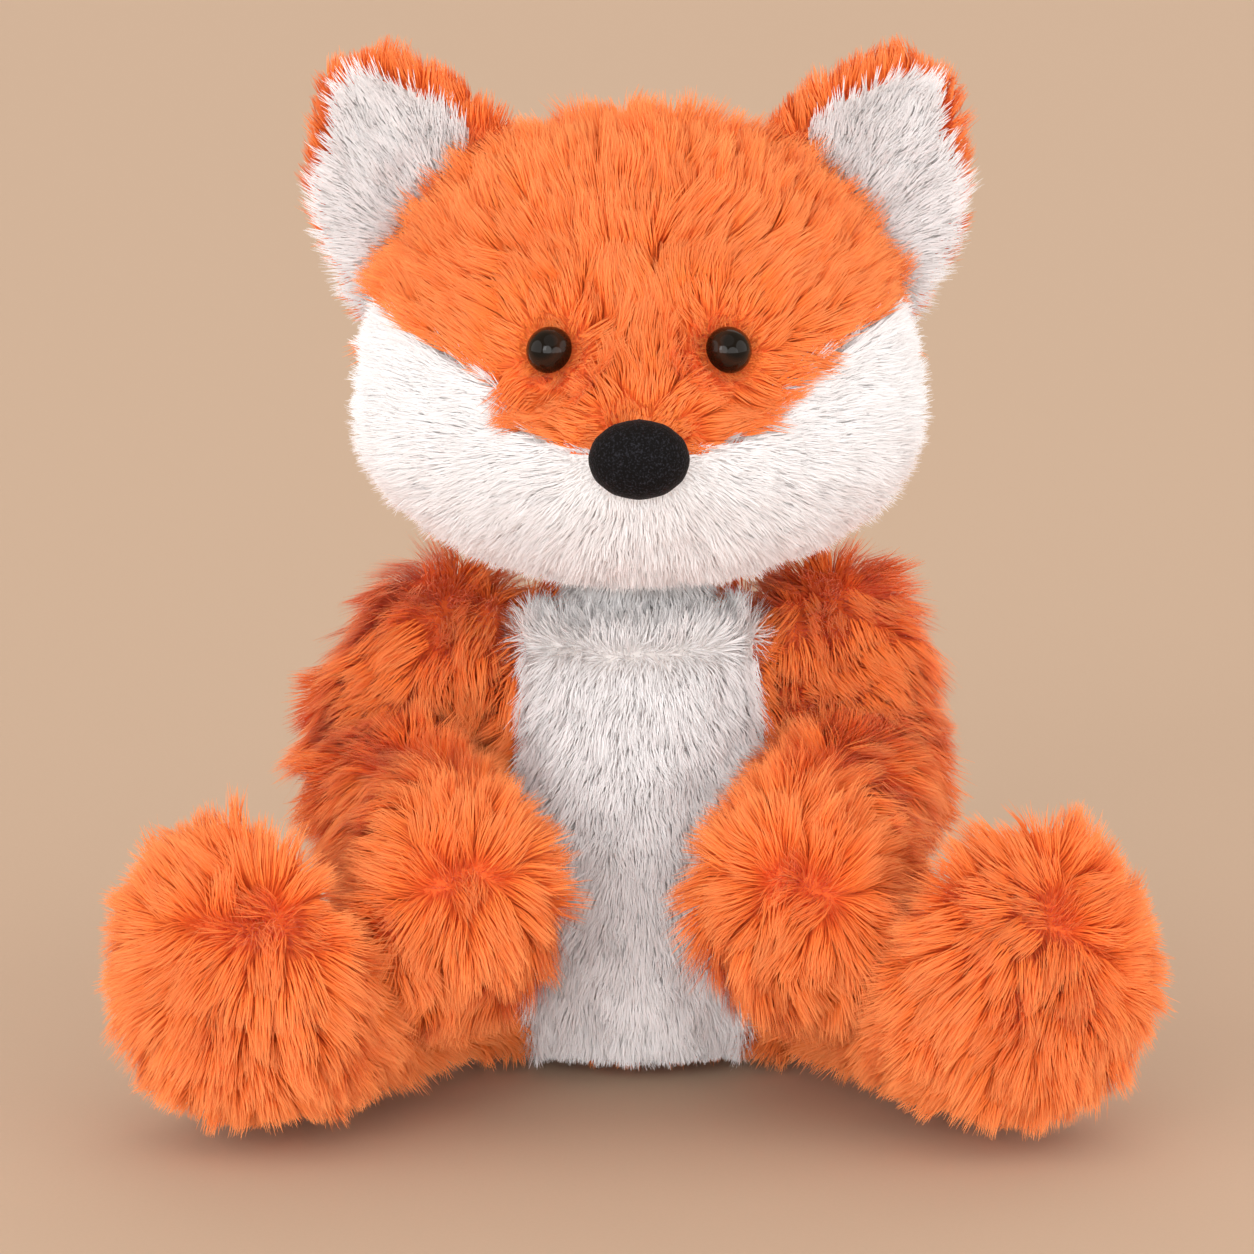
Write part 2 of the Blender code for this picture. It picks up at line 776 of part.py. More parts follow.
def make_eye(side, cover, on):
    """A domed safety eye on a ribbed shank, held behind the cloth by a pressed washer."""
    place = face_frame(SIDES[side] * EYE_OUT, EYE_HEIGHT, EYE_SUNK)
    black = material("eye_gloss_" + side, (0.01, 0.008, 0.007), 0.08)
    put("eye_" + side, turned(eye_profile(), top=EYE_DOME), black, on, place)
    behind = -(LONG_PILE - EYE_SUNK) - FACE_GAP
    hole = SHANK_RADIUS + SHANK_RIB + FACE_GAP
    washer = [
        (hole, behind - WASHER_THICKNESS),
        (WASHER_RADIUS, behind - WASHER_THICKNESS),
        (WASHER_RADIUS, behind),
        (hole, behind),
    ]
    plastic = material("washer_" + side, (0.75, 0.75, 0.72), 0.5)
    put("eye_washer_" + side, turned(washer, closed=True), plastic, on, place)
    seat = EYE_RADIUS + FACE_GAP
    clear = [
        (hole, -SHANK_LENGTH - FACE_GAP),
        (hole, -FACE_GAP),
        (seat, -FACE_GAP),
        (seat, EYE_DOME),
    ]
    room = put("eye_room_" + side, turned(clear), place=place)
    wide = WASHER_RADIUS + FACE_GAP
    recess = [(wide, behind - WASHER_THICKNESS - FACE_GAP), (wide, behind + FACE_GAP)]
    recess = put("washer_room_" + side, turned(recess), place=place)
    for piece in (cover["gusset"], cover["stuffing"]):
        shape_with(piece, room)
        shape_with(piece, recess)


def nose_form(grow, hollow):
    """A cushion-like oval dome. Hollow, it is the cover; otherwise what fills or clears it."""
    rows = []
    wide = NOSE_WIDTH / 2 + grow
    tall = NOSE_TALL / 2 + grow
    high = NOSE_DOME + grow

    def dome(inset, turn):
        across = Vector(((wide - inset) * math.cos(turn), 0, 0))
        along = Vector((0, (tall - inset) * math.cos(turn), 0))
        centre = Vector((0, 0, (high - inset) * math.sin(turn) ** NOSE_FULLNESS))
        return ring(centre, across, along, SMALL_SEGMENTS)

    turns = [math.pi / 2 * step / (DOME_RINGS + 1) for step in range(DOME_RINGS + 1)]
    start = Vector((0, 0, -grow))
    if hollow:
        rows += [dome(NOSE_CLOTH, turn) for turn in reversed(turns)]
        start = Vector((0, 0, high - NOSE_CLOTH))
    elif grow > 0:
        rows.append([point - Vector((0, 0, grow)) for point in dome(0, 0)])
    rows += [dome(0, turn) for turn in turns]
    return lofted(rows, start, Vector((0, 0, high)))


def make_nose(cover, on):
    place = face_frame(0, NOSE_HEIGHT, NOSE_SUNK)
    velour = material("nose_velour", (0.012, 0.011, 0.012), 0.7)
    put("nose_cover", nose_form(0, True), velour, on, place)
    filling = nose_form(-NOSE_CLOTH - FACE_GAP, False)
    put("nose_stuffing", filling, loose_stuffing("nose_fibre"), on, place)
    room = put("nose_room", nose_form(FACE_GAP, False), place=place)
    shape_with(cover["gusset"], room)
    shape_with(cover["cheeks"], room)


def ear_frame(side):
    """X runs along the ear's seam, Y up the ear and Z out of its front."""
    sign = SIDES[side]
    lean = Matrix.Rotation(sign * math.radians(EAR_LEAN_DEG), 4, "Y")
    turn = Matrix.Rotation(sign * math.radians(EAR_TURN_DEG), 4, "Z")
    upright = Matrix.Rotation(math.radians(90), 4, "X")
    half, _, _ = head_ring(EAR_HEIGHT)
    place = Matrix.Translation((sign * (half - EAR_SUNK), EAR_BACK, EAR_HEIGHT))
    return place @ lean @ turn @ upright


def ear_form(border, low, high):
    """A cupped leaf, as deep as asked in its middle and thin at its rim."""
    form = bmesh.new()
    faces = {}
    for front in (False, True):
        grid = []
        for row in range(EAR_ROWS):
            up = row / (EAR_ROWS - 1)
            _, wide = between(EAR_SHARES, up)
            half = wide * EAR_WIDTH / 2 - border
            height = -EAR_ROOT + (EAR_LENGTH + EAR_ROOT - border) * math.sin(up * math.pi / 2)
            line = []
            for column in range(EAR_COLUMNS + 1):
                share = math.sin(math.pi * (column / EAR_COLUMNS - 1 / 2))
                cup = EAR_CUP * (share**2 - 1 / 2)
                body = math.sqrt(max(1 - share**2, 0)) * math.sqrt(1 - up**EAR_FULLNESS)
                reach = EAR_RIM + (abs(high - low) - EAR_RIM) * body
                level = cup + (low if low >= 0 else high)
                if low >= 0:
                    level += reach if front else 0
                else:
                    level -= 0 if front else reach
                line.append(form.verts.new((half * share, height, level)))
            grid.append(line)
        faces[front] = grid
    for front, grid in faces.items():
        for below, above in zip(grid, grid[1:]):
            for column in range(EAR_COLUMNS):
                after = column + 1
                form.faces.new((below[column], below[after], above[after], above[column]))
    near, far = faces[True], faces[False]

    def border_of(grid):
        left = [line[0] for line in grid]
        right = [line[-1] for line in grid]
        return grid[0][:-1] + right[:-1] + grid[-1][:0:-1] + left[:0:-1]

    edge, other = border_of(near), border_of(far)
    for index, vert in enumerate(edge):
        after = (index + 1) % len(edge)
        form.faces.new((vert, edge[after], other[after], other[index]))
    bmesh.ops.recalc_face_normals(form, faces=form.faces)
    return form


def make_ear(side, on):
    """A plush back and a pale front, sewn round their rim and cut to sit on the head."""
    place = ear_frame(side)
    gap = FACE_GAP / 2
    back = put(
        "ear_back_" + side,
        ear_form(0, -gap - EAR_BACK_DEPTH, -gap),
        orange_plush("ear_plush_" + side),
        on,
        place,
    )
    front = put(
        "ear_front_" + side,
        ear_form(EAR_BORDER, gap, gap + EAR_FRONT_DEPTH),
        white_plush("ear_lining_" + side),
        on,
        place,
    )
    along = place.to_3x3().col[0]
    turns = (0, -EAR_FLEX_DEG, EAR_FLEX_DEG)
    name = "head_room_" + side
    cut_all((back, front), joined(swept_rooms(name, head_form, place.translation, along, turns)))


def turns_to(limit, steps):
    """Turns in even steps from a joint's limit back to rest."""
    return [limit * step / steps for step in range(steps, -1, -1)]


def swept_rooms(name, form, centre, axis, turns):
    """Helpers that fill a form's place as a limb meets it, while the limb turns through its range."""
    made = []
    there = Matrix.Translation(centre)
    for turn in turns:
        swing = there @ Matrix.Rotation(math.radians(-turn), 4, axis) @ there.inverted()
        made.append(put(f"{name}_{turn:.0f}", form(-SWEEP_GAP), place=swing))
    return made


def joined(rooms, pocket=None):
    """One helper of several, less the round pocket that a limb's root turns in."""
    whole = rooms[0]
    for other in rooms[1:]:
        shape_with(whole, other, "UNION")
    if pocket:
        centre, radius = pocket
        form = ball(centre, radius + SWIVEL_GAP, FINE_BALL_SEGMENTS)
        shape_with(whole, put(whole.name + "_pocket", form))
    return [whole]


def cut_all(pieces, rooms):
    for piece in pieces:
        for room in rooms:
            shape_with(piece, room)


def make_limb(kind, side, form, seam, on):
    """Two panels either side of a seam along the limb, and the stuffing inside them."""
    beyond, before = seam_pair(f"{kind}_seam_{side}", *seam)
    name = f"{kind}_stuffing_{side}"
    core = form(LONG_PILE + CORE_GAP)
    made = [put(name, core, loose_stuffing(name), on)]
    for part, other in (("inner", beyond), ("outer", before)):
        name = f"{kind}_{part}_panel_{side}"
        panel = put(name, cloth(form, LONG_PILE), orange_plush(name), on)
        shape_with(panel, other)
        made.append(panel)
    return made


def make_arm(side, on):
    """An arm that lifts about the line through both shoulders, cut to clear what it passes."""
    form = functools.partial(arm_form, side)
    bend = (elbow(side) - shoulder(side)).cross(paw(side) - shoulder(side)) * SIDES[side]
    pieces = make_limb("arm", side, form, (shoulder(side), -bend), on)
    turns = turns_to(ARM_LIFT_DEG, SWEEP_STEPS)
    across = Vector((-1, 0, 0))
    name = "arm_torso_room_" + side
    rooms = swept_rooms(name, torso_form, shoulder(side), across, turns)
    cut_all(pieces, joined(rooms, (shoulder(side), SHOULDER_RADIUS)))
    leg = functools.partial(leg_form, side)
    up = Vector((0, 0, SIDES[side]))
    turns = turns_to(-LEG_SPLAY_DEG, LEG_SWEEP_STEPS)
    cut_all(pieces, swept_rooms("arm_leg_room_" + side, leg, hip(side), up, turns))


def make_leg(side, on):
    """A leg that splays along the ground about an upright line through its hip."""
    form = functools.partial(leg_form, side)
    along = foot(side) - hip(side)
    out = Vector((-along.y, along.x, 0)) * SIDES[side]
    pieces = make_limb("leg", side, form, (hip(side), out), on)
    turns = turns_to(LEG_SPLAY_DEG, SWEEP_STEPS)
    up = Vector((0, 0, SIDES[side]))
    name = "leg_torso_room_" + side
    rooms = swept_rooms(name, torso_form, hip(side), up, turns)
    cut_all(pieces, joined(rooms, (hip(side), HIP_RADIUS)))


def make_tail(on):
    """An orange brush with a pale tip, sewn on low at the back."""
    tip = tail_root() + Vector((0, TAIL_LENGTH * TAIL_SHARES[-1][0], TAIL_RISE))
    tilt = math.radians(TAIL_SEAM_TILT_DEG)
    seam = tip - Vector((0, 0, TAIL_TIP_LENGTH / 2))
    beyond, before = seam_pair("tail_seam", seam, Vector((0, math.sin(tilt), math.cos(tilt))))
    base = put("tail_base_panel", cloth(tail_form, LONG_PILE), orange_plush("tail_plush"), on)
    shape_with(base, beyond)
    end = put("tail_tip_panel", cloth(tail_form, LONG_PILE), white_plush("tail_tip_plush"), on)
    shape_with(end, before)
    core = tail_form(LONG_PILE + CORE_GAP)
    filling = put("tail_stuffing", core, loose_stuffing("tail_fibre"), on)
    up = Vector((0, 0, 1))
    turns = (0, -TAIL_SWING_DEG, TAIL_SWING_DEG)
    rooms = swept_rooms("tail_torso_room", torso_form, tail_root(), up, turns)
    cut_all((base, filling), joined(rooms, (tail_root(), TAIL_ROOT_RADIUS)))


def main():
    clear_scene()
    pivots = make_pivots()
    room = pockets()
    make_neck(pivots)
    make_pouch(make_torso(room))
    cover = make_head(room, pivots)
    make_nose(cover, pivots["head"])
    for side in SIDES:
        make_eye(side, cover, pivots["head"])
        make_ear(side, pivots["ear_" + side])
        make_arm(side, pivots["arm_" + side])
        make_leg(side, pivots["leg_" + side])
    make_tail(pivots["tail"])


main()
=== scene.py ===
# %% [markdown]
# # A seated plush fox
#
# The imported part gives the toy's solid forms. This script dresses them: each stuffed body gets a
# smooth cloth skin, and each sewn panel gets its own pile, grown strand by strand.
# Everything is in metres, +Z up, and the toy faces -Y, so its left side is at +X.

# %% Load the frame
import json
import math

import bmesh
import bpy
import numpy as np
from mathutils import Matrix, Vector
from mathutils.bvhtree import BVHTree

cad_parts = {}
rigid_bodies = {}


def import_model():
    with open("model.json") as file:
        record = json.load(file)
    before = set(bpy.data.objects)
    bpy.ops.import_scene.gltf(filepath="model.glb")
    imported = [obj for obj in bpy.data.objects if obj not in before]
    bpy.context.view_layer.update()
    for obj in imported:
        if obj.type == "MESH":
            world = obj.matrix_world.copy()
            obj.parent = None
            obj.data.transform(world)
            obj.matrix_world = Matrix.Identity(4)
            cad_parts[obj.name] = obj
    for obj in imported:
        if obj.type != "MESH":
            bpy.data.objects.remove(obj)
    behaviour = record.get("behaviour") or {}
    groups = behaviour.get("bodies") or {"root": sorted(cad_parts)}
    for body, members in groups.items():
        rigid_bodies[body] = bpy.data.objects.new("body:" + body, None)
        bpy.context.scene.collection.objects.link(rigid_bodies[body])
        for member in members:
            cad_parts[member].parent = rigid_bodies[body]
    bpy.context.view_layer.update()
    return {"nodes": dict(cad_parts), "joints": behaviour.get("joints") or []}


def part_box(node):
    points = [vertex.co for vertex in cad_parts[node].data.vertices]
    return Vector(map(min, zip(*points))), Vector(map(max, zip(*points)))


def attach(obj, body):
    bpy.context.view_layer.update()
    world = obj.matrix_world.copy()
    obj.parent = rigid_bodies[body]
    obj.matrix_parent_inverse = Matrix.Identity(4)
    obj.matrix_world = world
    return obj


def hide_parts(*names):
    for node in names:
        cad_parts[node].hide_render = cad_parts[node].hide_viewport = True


for leftover in list(bpy.data.objects):
    bpy.data.objects.remove(leftover)
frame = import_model()

# %% [markdown]
# ## Names
#
# A plush toy is sewn from flat panels. Each panel of the fox is a node of the CAD part, and the
# bodies are what its joints move. The tables below say which panels cover which body, and
# whether their pile is the long orange or the short white one. The neck has no panel of its
# own, so white pile grows straight on the front of its filling.

# %% Panels and bodies
ORANGE, WHITE = "orange", "white"
PANELS = {
    "head": {"face_gusset_panel": ORANGE, "head_back_panel": ORANGE, "cheek_panel": WHITE},
    "torso": {"belly_panel": WHITE, "torso_back_panel": ORANGE, "seat_panel": ORANGE},
    "tail": {"tail_base_panel": ORANGE, "tail_tip_panel": WHITE},
}
for side in ("left", "right"):
    PANELS["ear_" + side] = {"ear_back_" + side: ORANGE, "ear_front_" + side: WHITE}
    for limb in ("arm", "leg"):
        parts = (f"{limb}_{part}_panel_{side}" for part in ("inner", "outer"))
        PANELS[f"{limb}_{side}"] = {part: ORANGE for part in parts}
STUFFING = {}
for body in PANELS:
    kind, *which = body.split("_")
    STUFFING[body] = "_".join([kind, "stuffing", *which])
PANELS["neck"] = {"neck_stuffing": WHITE}
STUFFING["neck"] = ""


# %% [markdown]
# ## Colours
#
# Screen colours are written as sRGB hex values, but shaders calculate in linear light.
# One function converts every colour, so each can be compared with the photograph by eye.

# %% Hex colours to linear light
def linear(hex_colour):
    """A hex colour as the four linear values a shader's colour socket takes."""
    values = [int(hex_colour[index : index + 2], 16) / 255 for index in (1, 3, 5)]
    return (*(v / 12.92 if v <= 0.04045 else ((v + 0.055) / 1.055) ** 2.4 for v in values), 1.0)


print("mid orange in linear light", [round(v, 3) for v in linear("#F5762C")])


# %% [markdown]
# ## One function for every node
#
# Materials and Geometry Nodes are both node trees. This function adds a node, sets its options
# and fills or links its inputs, so each tree below reads as a list of steps.

# %% Add a node with its settings and links
def step(tree, kind, inputs=None, **settings):
    """Adds a node. Inputs are keyed by name or number: a socket is linked, a value is set."""
    made = tree.nodes.new(kind)
    for name, value in settings.items():
        setattr(made, name, value)
    for key, value in (inputs or {}).items():
        if isinstance(value, bpy.types.NodeSocket):
            tree.links.new(value, made.inputs[key])
        else:
            made.inputs[key].default_value = value
    return made


def blank_material(name):
    """A material with an empty tree, its Principled shader and its output."""
    made = bpy.data.materials.new(name)
    made.use_nodes = True
    tree = made.node_tree
    tree.nodes.clear()
    shader = step(tree, "ShaderNodeBsdfPrincipled")
    step(tree, "ShaderNodeOutputMaterial", {"Surface": shader.outputs["BSDF"]})
    return made, tree, shader


# %% [markdown]
# ## Pile fibres: polyester, cut and brushed
#
# Plush pile is crimped polyester fibre, dyed through, knitted into a backing and brushed. Deep
# between the tufts little light arrives, so roots look dark and strongly coloured, while tips
# catch the light and look pale. The material paints this into the colour: painted shade at the
# roots and a painted highlight at the tips. The pile trees store how far along its strand each
# point lies, and a random tone for each strand and each lock, and the material turns these into
# colour.

# %% Pile material
ROOT_END, MIDDLE, TIP = 0.05, 0.55, 1.0
TONE_RANGE = (0.92, 1.08)
POLYESTER_IOR = 1.5


def pile_material(name, root, middle, tip, lock_change, sheen):
    made, tree, shader = blank_material(name)
    along = step(tree, "ShaderNodeAttribute", attribute_name="along")
    tone = step(tree, "ShaderNodeAttribute", attribute_name="tone")
    lock = step(tree, "ShaderNodeAttribute", attribute_name="lock")
    # Painted shade and highlight: the ramp darkens the colour at the root and lightens it at the
    # tip.
    ramp = step(tree, "ShaderNodeValToRGB", {"Fac": along.outputs["Fac"]})
    stops = ramp.color_ramp.elements
    stops[0].position, stops[0].color = ROOT_END, linear(root)
    stops[1].position, stops[1].color = TIP, linear(tip)
    centre = stops.new(MIDDLE)
    centre.color = linear(middle)
    value = step(
        tree,
        "ShaderNodeMapRange",
        {"Value": tone.outputs["Fac"], "To Min": TONE_RANGE[0], "To Max": TONE_RANGE[1]},
    )
    shade = step(
        tree,
        "ShaderNodeMapRange",
        {"Value": lock.outputs["Fac"], "To Min": 1 - lock_change, "To Max": 1 + lock_change},
    )
    both = step(
        tree,
        "ShaderNodeMath",
        {0: value.outputs["Result"], 1: shade.outputs["Result"]},
        operation="MULTIPLY",
    )
    final = step(
        tree,
        "ShaderNodeHueSaturation",
        {"Color": ramp.outputs["Color"], "Value": both.outputs["Value"]},
    )
    tree.links.new(final.outputs["Color"], shader.inputs["Base Color"])
    shader.inputs["Roughness"].default_value = 0.62
    shader.inputs["IOR"].default_value = POLYESTER_IOR
    shader.inputs["Specular IOR Level"].default_value = 0.25
    shader.inputs["Sheen Weight"].default_value = sheen
    shader.inputs["Sheen Roughness"].default_value = 0.5
    return made


# The root colours carry painted shade and the tip colours a painted highlight.
PILE = {
    ORANGE: pile_material("dyed_polyester_pile_orange", "#F27230", "#FB8135", "#FE9A58", 0.05, 0.1),
    WHITE: pile_material("polyester_pile_white", "#F7F4F3", "#FBF9F9", "#FDFCFC", 0.015, 0.1),
}
print("pile finishes:", ", ".join(m.name for m in PILE.values()))


# %% [markdown]
# ## Backing cloth: knitted polyester
#
# Under the pile lies a knit in the same dye. It shows only where the pile parts, as a ground
# with a fine grid of stitches, 1.2 mm apart here so that it can be seen at all. The calico of
# the bean pouch uses the same recipe in its own colours.

# %% Backing material
STITCH = 0.0012
UNEVENNESS = 0.35
THREAD_EDGE = 0.7


def backing_material(name, ground, thread):
    made, tree, shader = blank_material(name)
    place = step(tree, "ShaderNodeTexCoord")
    knit = step(
        tree,
        "ShaderNodeTexVoronoi",
        {"Vector": place.outputs["Object"], "Scale": 1 / STITCH, "Randomness": UNEVENNESS},
    )
    ramp = step(tree, "ShaderNodeValToRGB", {"Fac": knit.outputs["Distance"]})
    ramp.color_ramp.elements[0].color = linear(thread)
    ramp.color_ramp.elements[1].color = linear(ground)
    ramp.color_ramp.elements[1].position = THREAD_EDGE
    bump = step(
        tree,
        "ShaderNodeBump",
        {"Height": knit.outputs["Distance"], "Strength": 0.4, "Distance": STITCH / 4},
        invert=True,
    )
    tree.links.new(ramp.outputs["Color"], shader.inputs["Base Color"])
    tree.links.new(bump.outputs["Normal"], shader.inputs["Normal"])
    shader.inputs["Roughness"].default_value = 0.9
    return made


BACKING = {
    ORANGE: backing_material("knitted_backing_orange", "#F07030", "#FA803C"),
    WHITE: backing_material("knitted_backing_white", "#F2ECE9", "#FAF7F5"),
}
print("backings:", ", ".join(m.name for m in BACKING.values()))

# %% [markdown]
# ## Skins
#
# A sewn and stuffed form is rounder than its faceted solid. The panels and stuffing of a body
# are joined, remeshed into one closed surface of even small faces and relaxed, which rounds the
# facets off. Then the surface is drawn in, because the CAD form reaches to the tips of the pile
# and the cloth lies at its roots.

# %% Join, remesh and relax
VOXEL = 0.0018
RELAX_ROUNDS = 14


def joined_form(nodes, voxel, rounds):
    """The outer form of some CAD nodes as a bmesh of even faces, without inner shells."""
    whole = bmesh.new()
    for node in nodes:
        whole.from_mesh(frame["nodes"][node].data)
    bmesh.ops.remove_doubles(whole, verts=whole.verts, dist=1e-7)
    mesh = bpy.data.meshes.new("joined")
    whole.to_mesh(mesh)
    whole.free()
    helper = bpy.data.objects.new("joined", mesh)
    bpy.context.scene.collection.objects.link(helper)
    remesh = helper.modifiers.new("even", "REMESH")
    remesh.mode = "VOXEL"
    remesh.voxel_size = voxel
    graph = bpy.context.evaluated_depsgraph_get()
    even = bpy.data.meshes.new_from_object(helper.evaluated_get(graph))
    form = bmesh.new()
    form.from_mesh(even)
    bpy.data.objects.remove(helper)
    bpy.data.meshes.remove(mesh)
    bpy.data.meshes.remove(even)
    keep_largest(form)
    for _ in range(rounds):
        bmesh.ops.smooth_vert(
            form, verts=form.verts, factor=0.5, use_axis_x=True, use_axis_y=True, use_axis_z=True
        )
    form.normal_update()
    return form


def keep_largest(form):
    """Deletes every separate shell but the one with the most faces."""
    unseen, shells = set(form.verts), []
    while unseen:
        front = [unseen.pop()]
        shell = list(front)
        while front:
            vert = front.pop()
            for edge in vert.link_edges:
                other = edge.other_vert(vert)
                if other in unseen:
                    unseen.remove(other)
                    front.append(other)
                    shell.append(other)
        shells.append(shell)
    shells.sort(key=len)
    for shell in shells[:-1]:
        bmesh.ops.delete(form, geom=shell, context="VERTS")


SET_IN = {"head": ["eye_left", "eye_right", "nose_cover", "nose_stuffing"]}
forms = {}
for body, panels in PANELS.items():
    nodes = [*panels, *SET_IN.get(body, [])]
    if STUFFING[body] in frame["nodes"]:
        nodes.append(STUFFING[body])
    forms[body] = joined_form(nodes, VOXEL, RELAX_ROUNDS)
for body, form in forms.items():
    print(f"{body}: {len(form.faces)} faces")

# %% [markdown]
# ## Where pile grows, how long, and which way it lies
#
# Pile doesn't grow where two stuffed bodies press together, and it is short beside them. It is
# clipped round the eyes and the nose. Cloth makers call the way that pile lies its nap: on this
# toy it runs back from the nose over the head, down the torso and the arms, and it bursts
# outwards from a parting on each paw and foot. Each vertex of a skin stores these as attributes.

# %% The face's own places
NOSE_TIP = Vector((0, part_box("nose_cover")[0].y, sum(p.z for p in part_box("nose_cover")) / 2))


WIDEST_RING = 0.98


def eye_frame(side):
    """The middle of the widest ring of an eye, its axis out of the face, its radius and height."""
    solid = frame["nodes"]["eye_" + side]
    points = np.unique([tuple(round(c, 7) for c in v.co) for v in solid.data.vertices], axis=0)
    middle = points.mean(axis=0)
    spread, ways = np.linalg.eigh(np.cov((points - middle).T))
    odd = 0 if spread[1] - spread[0] > spread[2] - spread[1] else 2
    axis = ways[:, odd] * (-1 if ways[1, odd] > 0 else 1)
    heights = (points - middle) @ axis
    radii = np.linalg.norm(points - middle - np.outer(heights, axis), axis=1)
    base = heights[radii > WIDEST_RING * radii.max()].max()
    place = Vector(middle + base * axis)
    return place, Vector(axis), float(radii.max()), float(heights.max() - base)


EYES = {side: eye_frame(side) for side in ("left", "right")}
EYE_PLACES = [place for place, _, _, _ in EYES.values()]
for side, (_, _, radius, high) in EYES.items():
    print(f"{side} eye: {2000 * radius:.1f} mm wide, {1000 * high:.1f} mm high")
JOINTS = {joint["child"]: joint for joint in frame["joints"]}


def body_box(body):
    corners = [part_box(node) for node in PANELS[body]]
    low = Vector(min(c[0][i] for c in corners) for i in range(3))
    high = Vector(max(c[1][i] for c in corners) for i in range(3))
    return low, high


# %% Partings of the paws and feet
PIXELS = 1254
PIXEL = 0.00026


def parting(body, x_pixels, heights):
    """Both ends of a parting on the front of a body, from pixel columns and heights."""
    low, _ = body_box(body)
    return [Vector(((x - PIXELS / 2) * PIXEL, low.y, z)) for x, z in zip(x_pixels, heights)]


PARTINGS = {
    "leg_right": parting("leg_right", (215, 290), (0.066, 0.072)),
    "leg_left": parting("leg_left", (1045, 1100), (0.075, 0.062)),
    "arm_right": parting("arm_right", (430, 475), (0.070, 0.074)),
    "arm_left": parting("arm_left", (765, 810), (0.074, 0.067)),
}
print("partings on", ", ".join(PARTINGS))


def from_parting(body, point):
    """The way to a point from the nearest place on the parting of its paw or foot."""
    start, end = PARTINGS[body]
    line = end - start
    share = min(max((point - start).dot(line) / line.length_squared, 0), 1)
    return point - (start + share * line)


# %% Nap directions
BURST_CORE = 0.010
BURST_REACH = 0.038
ARM_NAP = (0.45, -0.25, -0.85)
EYE_REACH, EYE_PUSH = 0.013, 2.6
RIM_RISE = 0.016
OUTWARD, DOWNWARD = 0.3, 0.8
EAR_RISE = Vector((0, 0, 0.3))
TAIL_DROP = Vector((0, 0, -0.01))


def nap(body, point):
    """The direction, not yet laid along the surface, in which the pile lies at a point."""
    if body == "head":
        away = (point - NOSE_TIP).normalized()
        for eye in EYE_PLACES:
            from_eye = point - eye
            push = EYE_PUSH * math.exp(-((from_eye.length / EYE_REACH) ** 2))
            away += from_eye.normalized() * push
        return away
    if body == "torso":
        rise = eased(point.z, TORSO_TOP - RIM_RISE, TORSO_TOP)
        upward = (2 * rise - 1) * DOWNWARD
        return Vector((point.x, point.y, 0)).normalized() * OUTWARD + Vector((0, 0, upward))
    if body == "neck":
        return Vector((point.x, point.y, 0)).normalized() * OUTWARD - Vector((0, 0, DOWNWARD))
    anchor = Vector(JOINTS[body]["pos_m"])
    if body.startswith("ear"):
        return (point - anchor).normalized() + EAR_RISE
    if body == "tail":
        return point - anchor + TAIL_DROP
    away = from_parting(body, point)
    burst = away.normalized() * min(away.length / BURST_CORE, 1)
    if body.startswith("leg"):
        return burst
    near = math.exp(-((away.length / BURST_REACH) ** 4))
    side_sign = 1 if body.endswith("left") else -1
    x, y, z = ARM_NAP
    return burst * near + Vector((x * side_sign, y, z)) * (1 - near)


TORSO_TOP = body_box("torso")[1].z
print("the head's pile lies away from", [round(v, 4) for v in NOSE_TIP])

# %% Clearance from the other bodies
NEIGHBOURS = {
    "head": ["torso", "ear_left", "ear_right"],
    "torso": ["head", "arm_left", "arm_right", "leg_left", "leg_right", "tail"],
    "tail": ["torso"],
    "neck": ["torso", "head"],
}
for side in ("left", "right"):
    NEIGHBOURS["ear_" + side] = ["head"]
    NEIGHBOURS["arm_" + side] = ["torso", "leg_" + side]
    NEIGHBOURS["leg_" + side] = ["torso", "arm_" + side]
trees = {body: BVHTree.FromBMesh(form) for body, form in forms.items()}


def clearance(body, point):
    """The distance from a point to the nearest other body, negative inside it."""
    least = 1.0
    for other in NEIGHBOURS[body]:
        place, normal, _, distance = trees[other].find_nearest(point)
        if (point - place).dot(normal) < 0:
            distance = -distance
        least = min(least, distance)
    return least


def eased(value, low, high):
    """0 below low, 1 above high, and a smooth rise between them."""
    share = min(max((value - low) / (high - low), 0), 1)
    return share * share * (3 - 2 * share)


# %% Store the panel, the cover, the length and the nap on each skin
panel_trees = {}
for panels in PANELS.values():
    for node in panels:
        merged = bmesh.new()
        merged.from_mesh(frame["nodes"][node].data)
        panel_trees[node] = BVHTree.FromBMesh(merged)
        merged.free()


RIM_OF_BACK = 0.0055
RIM_STARTS, RIM_FULL = 0.008, 0.026


def nearest_panel(body, point):
    """The panel that a point lies on. The long pile of an ear's back also wraps its upper rim."""
    found = [[panel_trees[node].find_nearest(point)[3], node] for node in PANELS[body]]
    for entry in found:
        if "ear_front" in entry[1]:
            rise = point.z - JOINTS[body]["pos_m"][2]
            entry[0] += RIM_OF_BACK * eased(rise, RIM_STARTS, RIM_FULL)
    return min(found)[1]


CLOTH_BELOW_TIPS = {ORANGE: 0.0070, WHITE: 0.0045}
EAR_CLOTH_BELOW_TIPS = {ORANGE: 0.0030, WHITE: 0.0022}
NECK_MIDDLE = sum(p.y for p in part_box("neck_stuffing")) / 2
NOSE_HALVES = ((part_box("nose_cover")[1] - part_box("nose_cover")[0]) / 2).to_tuple()
CLEARED = 0.8
EYE_BARE, EYE_SHORT, EYE_GROWN, EYE_SUNK = (1.00, 1.14), 0.20, (1.0, 3.0), (1.1, 2.2)
NOSE_BARE, NOSE_SHORT, NOSE_GROWN, NOSE_SUNK = (0.85, 1.0), 0.30, (0.95, 2.2), (1.0, 1.6)
NOSE_DEPTH = 0.03


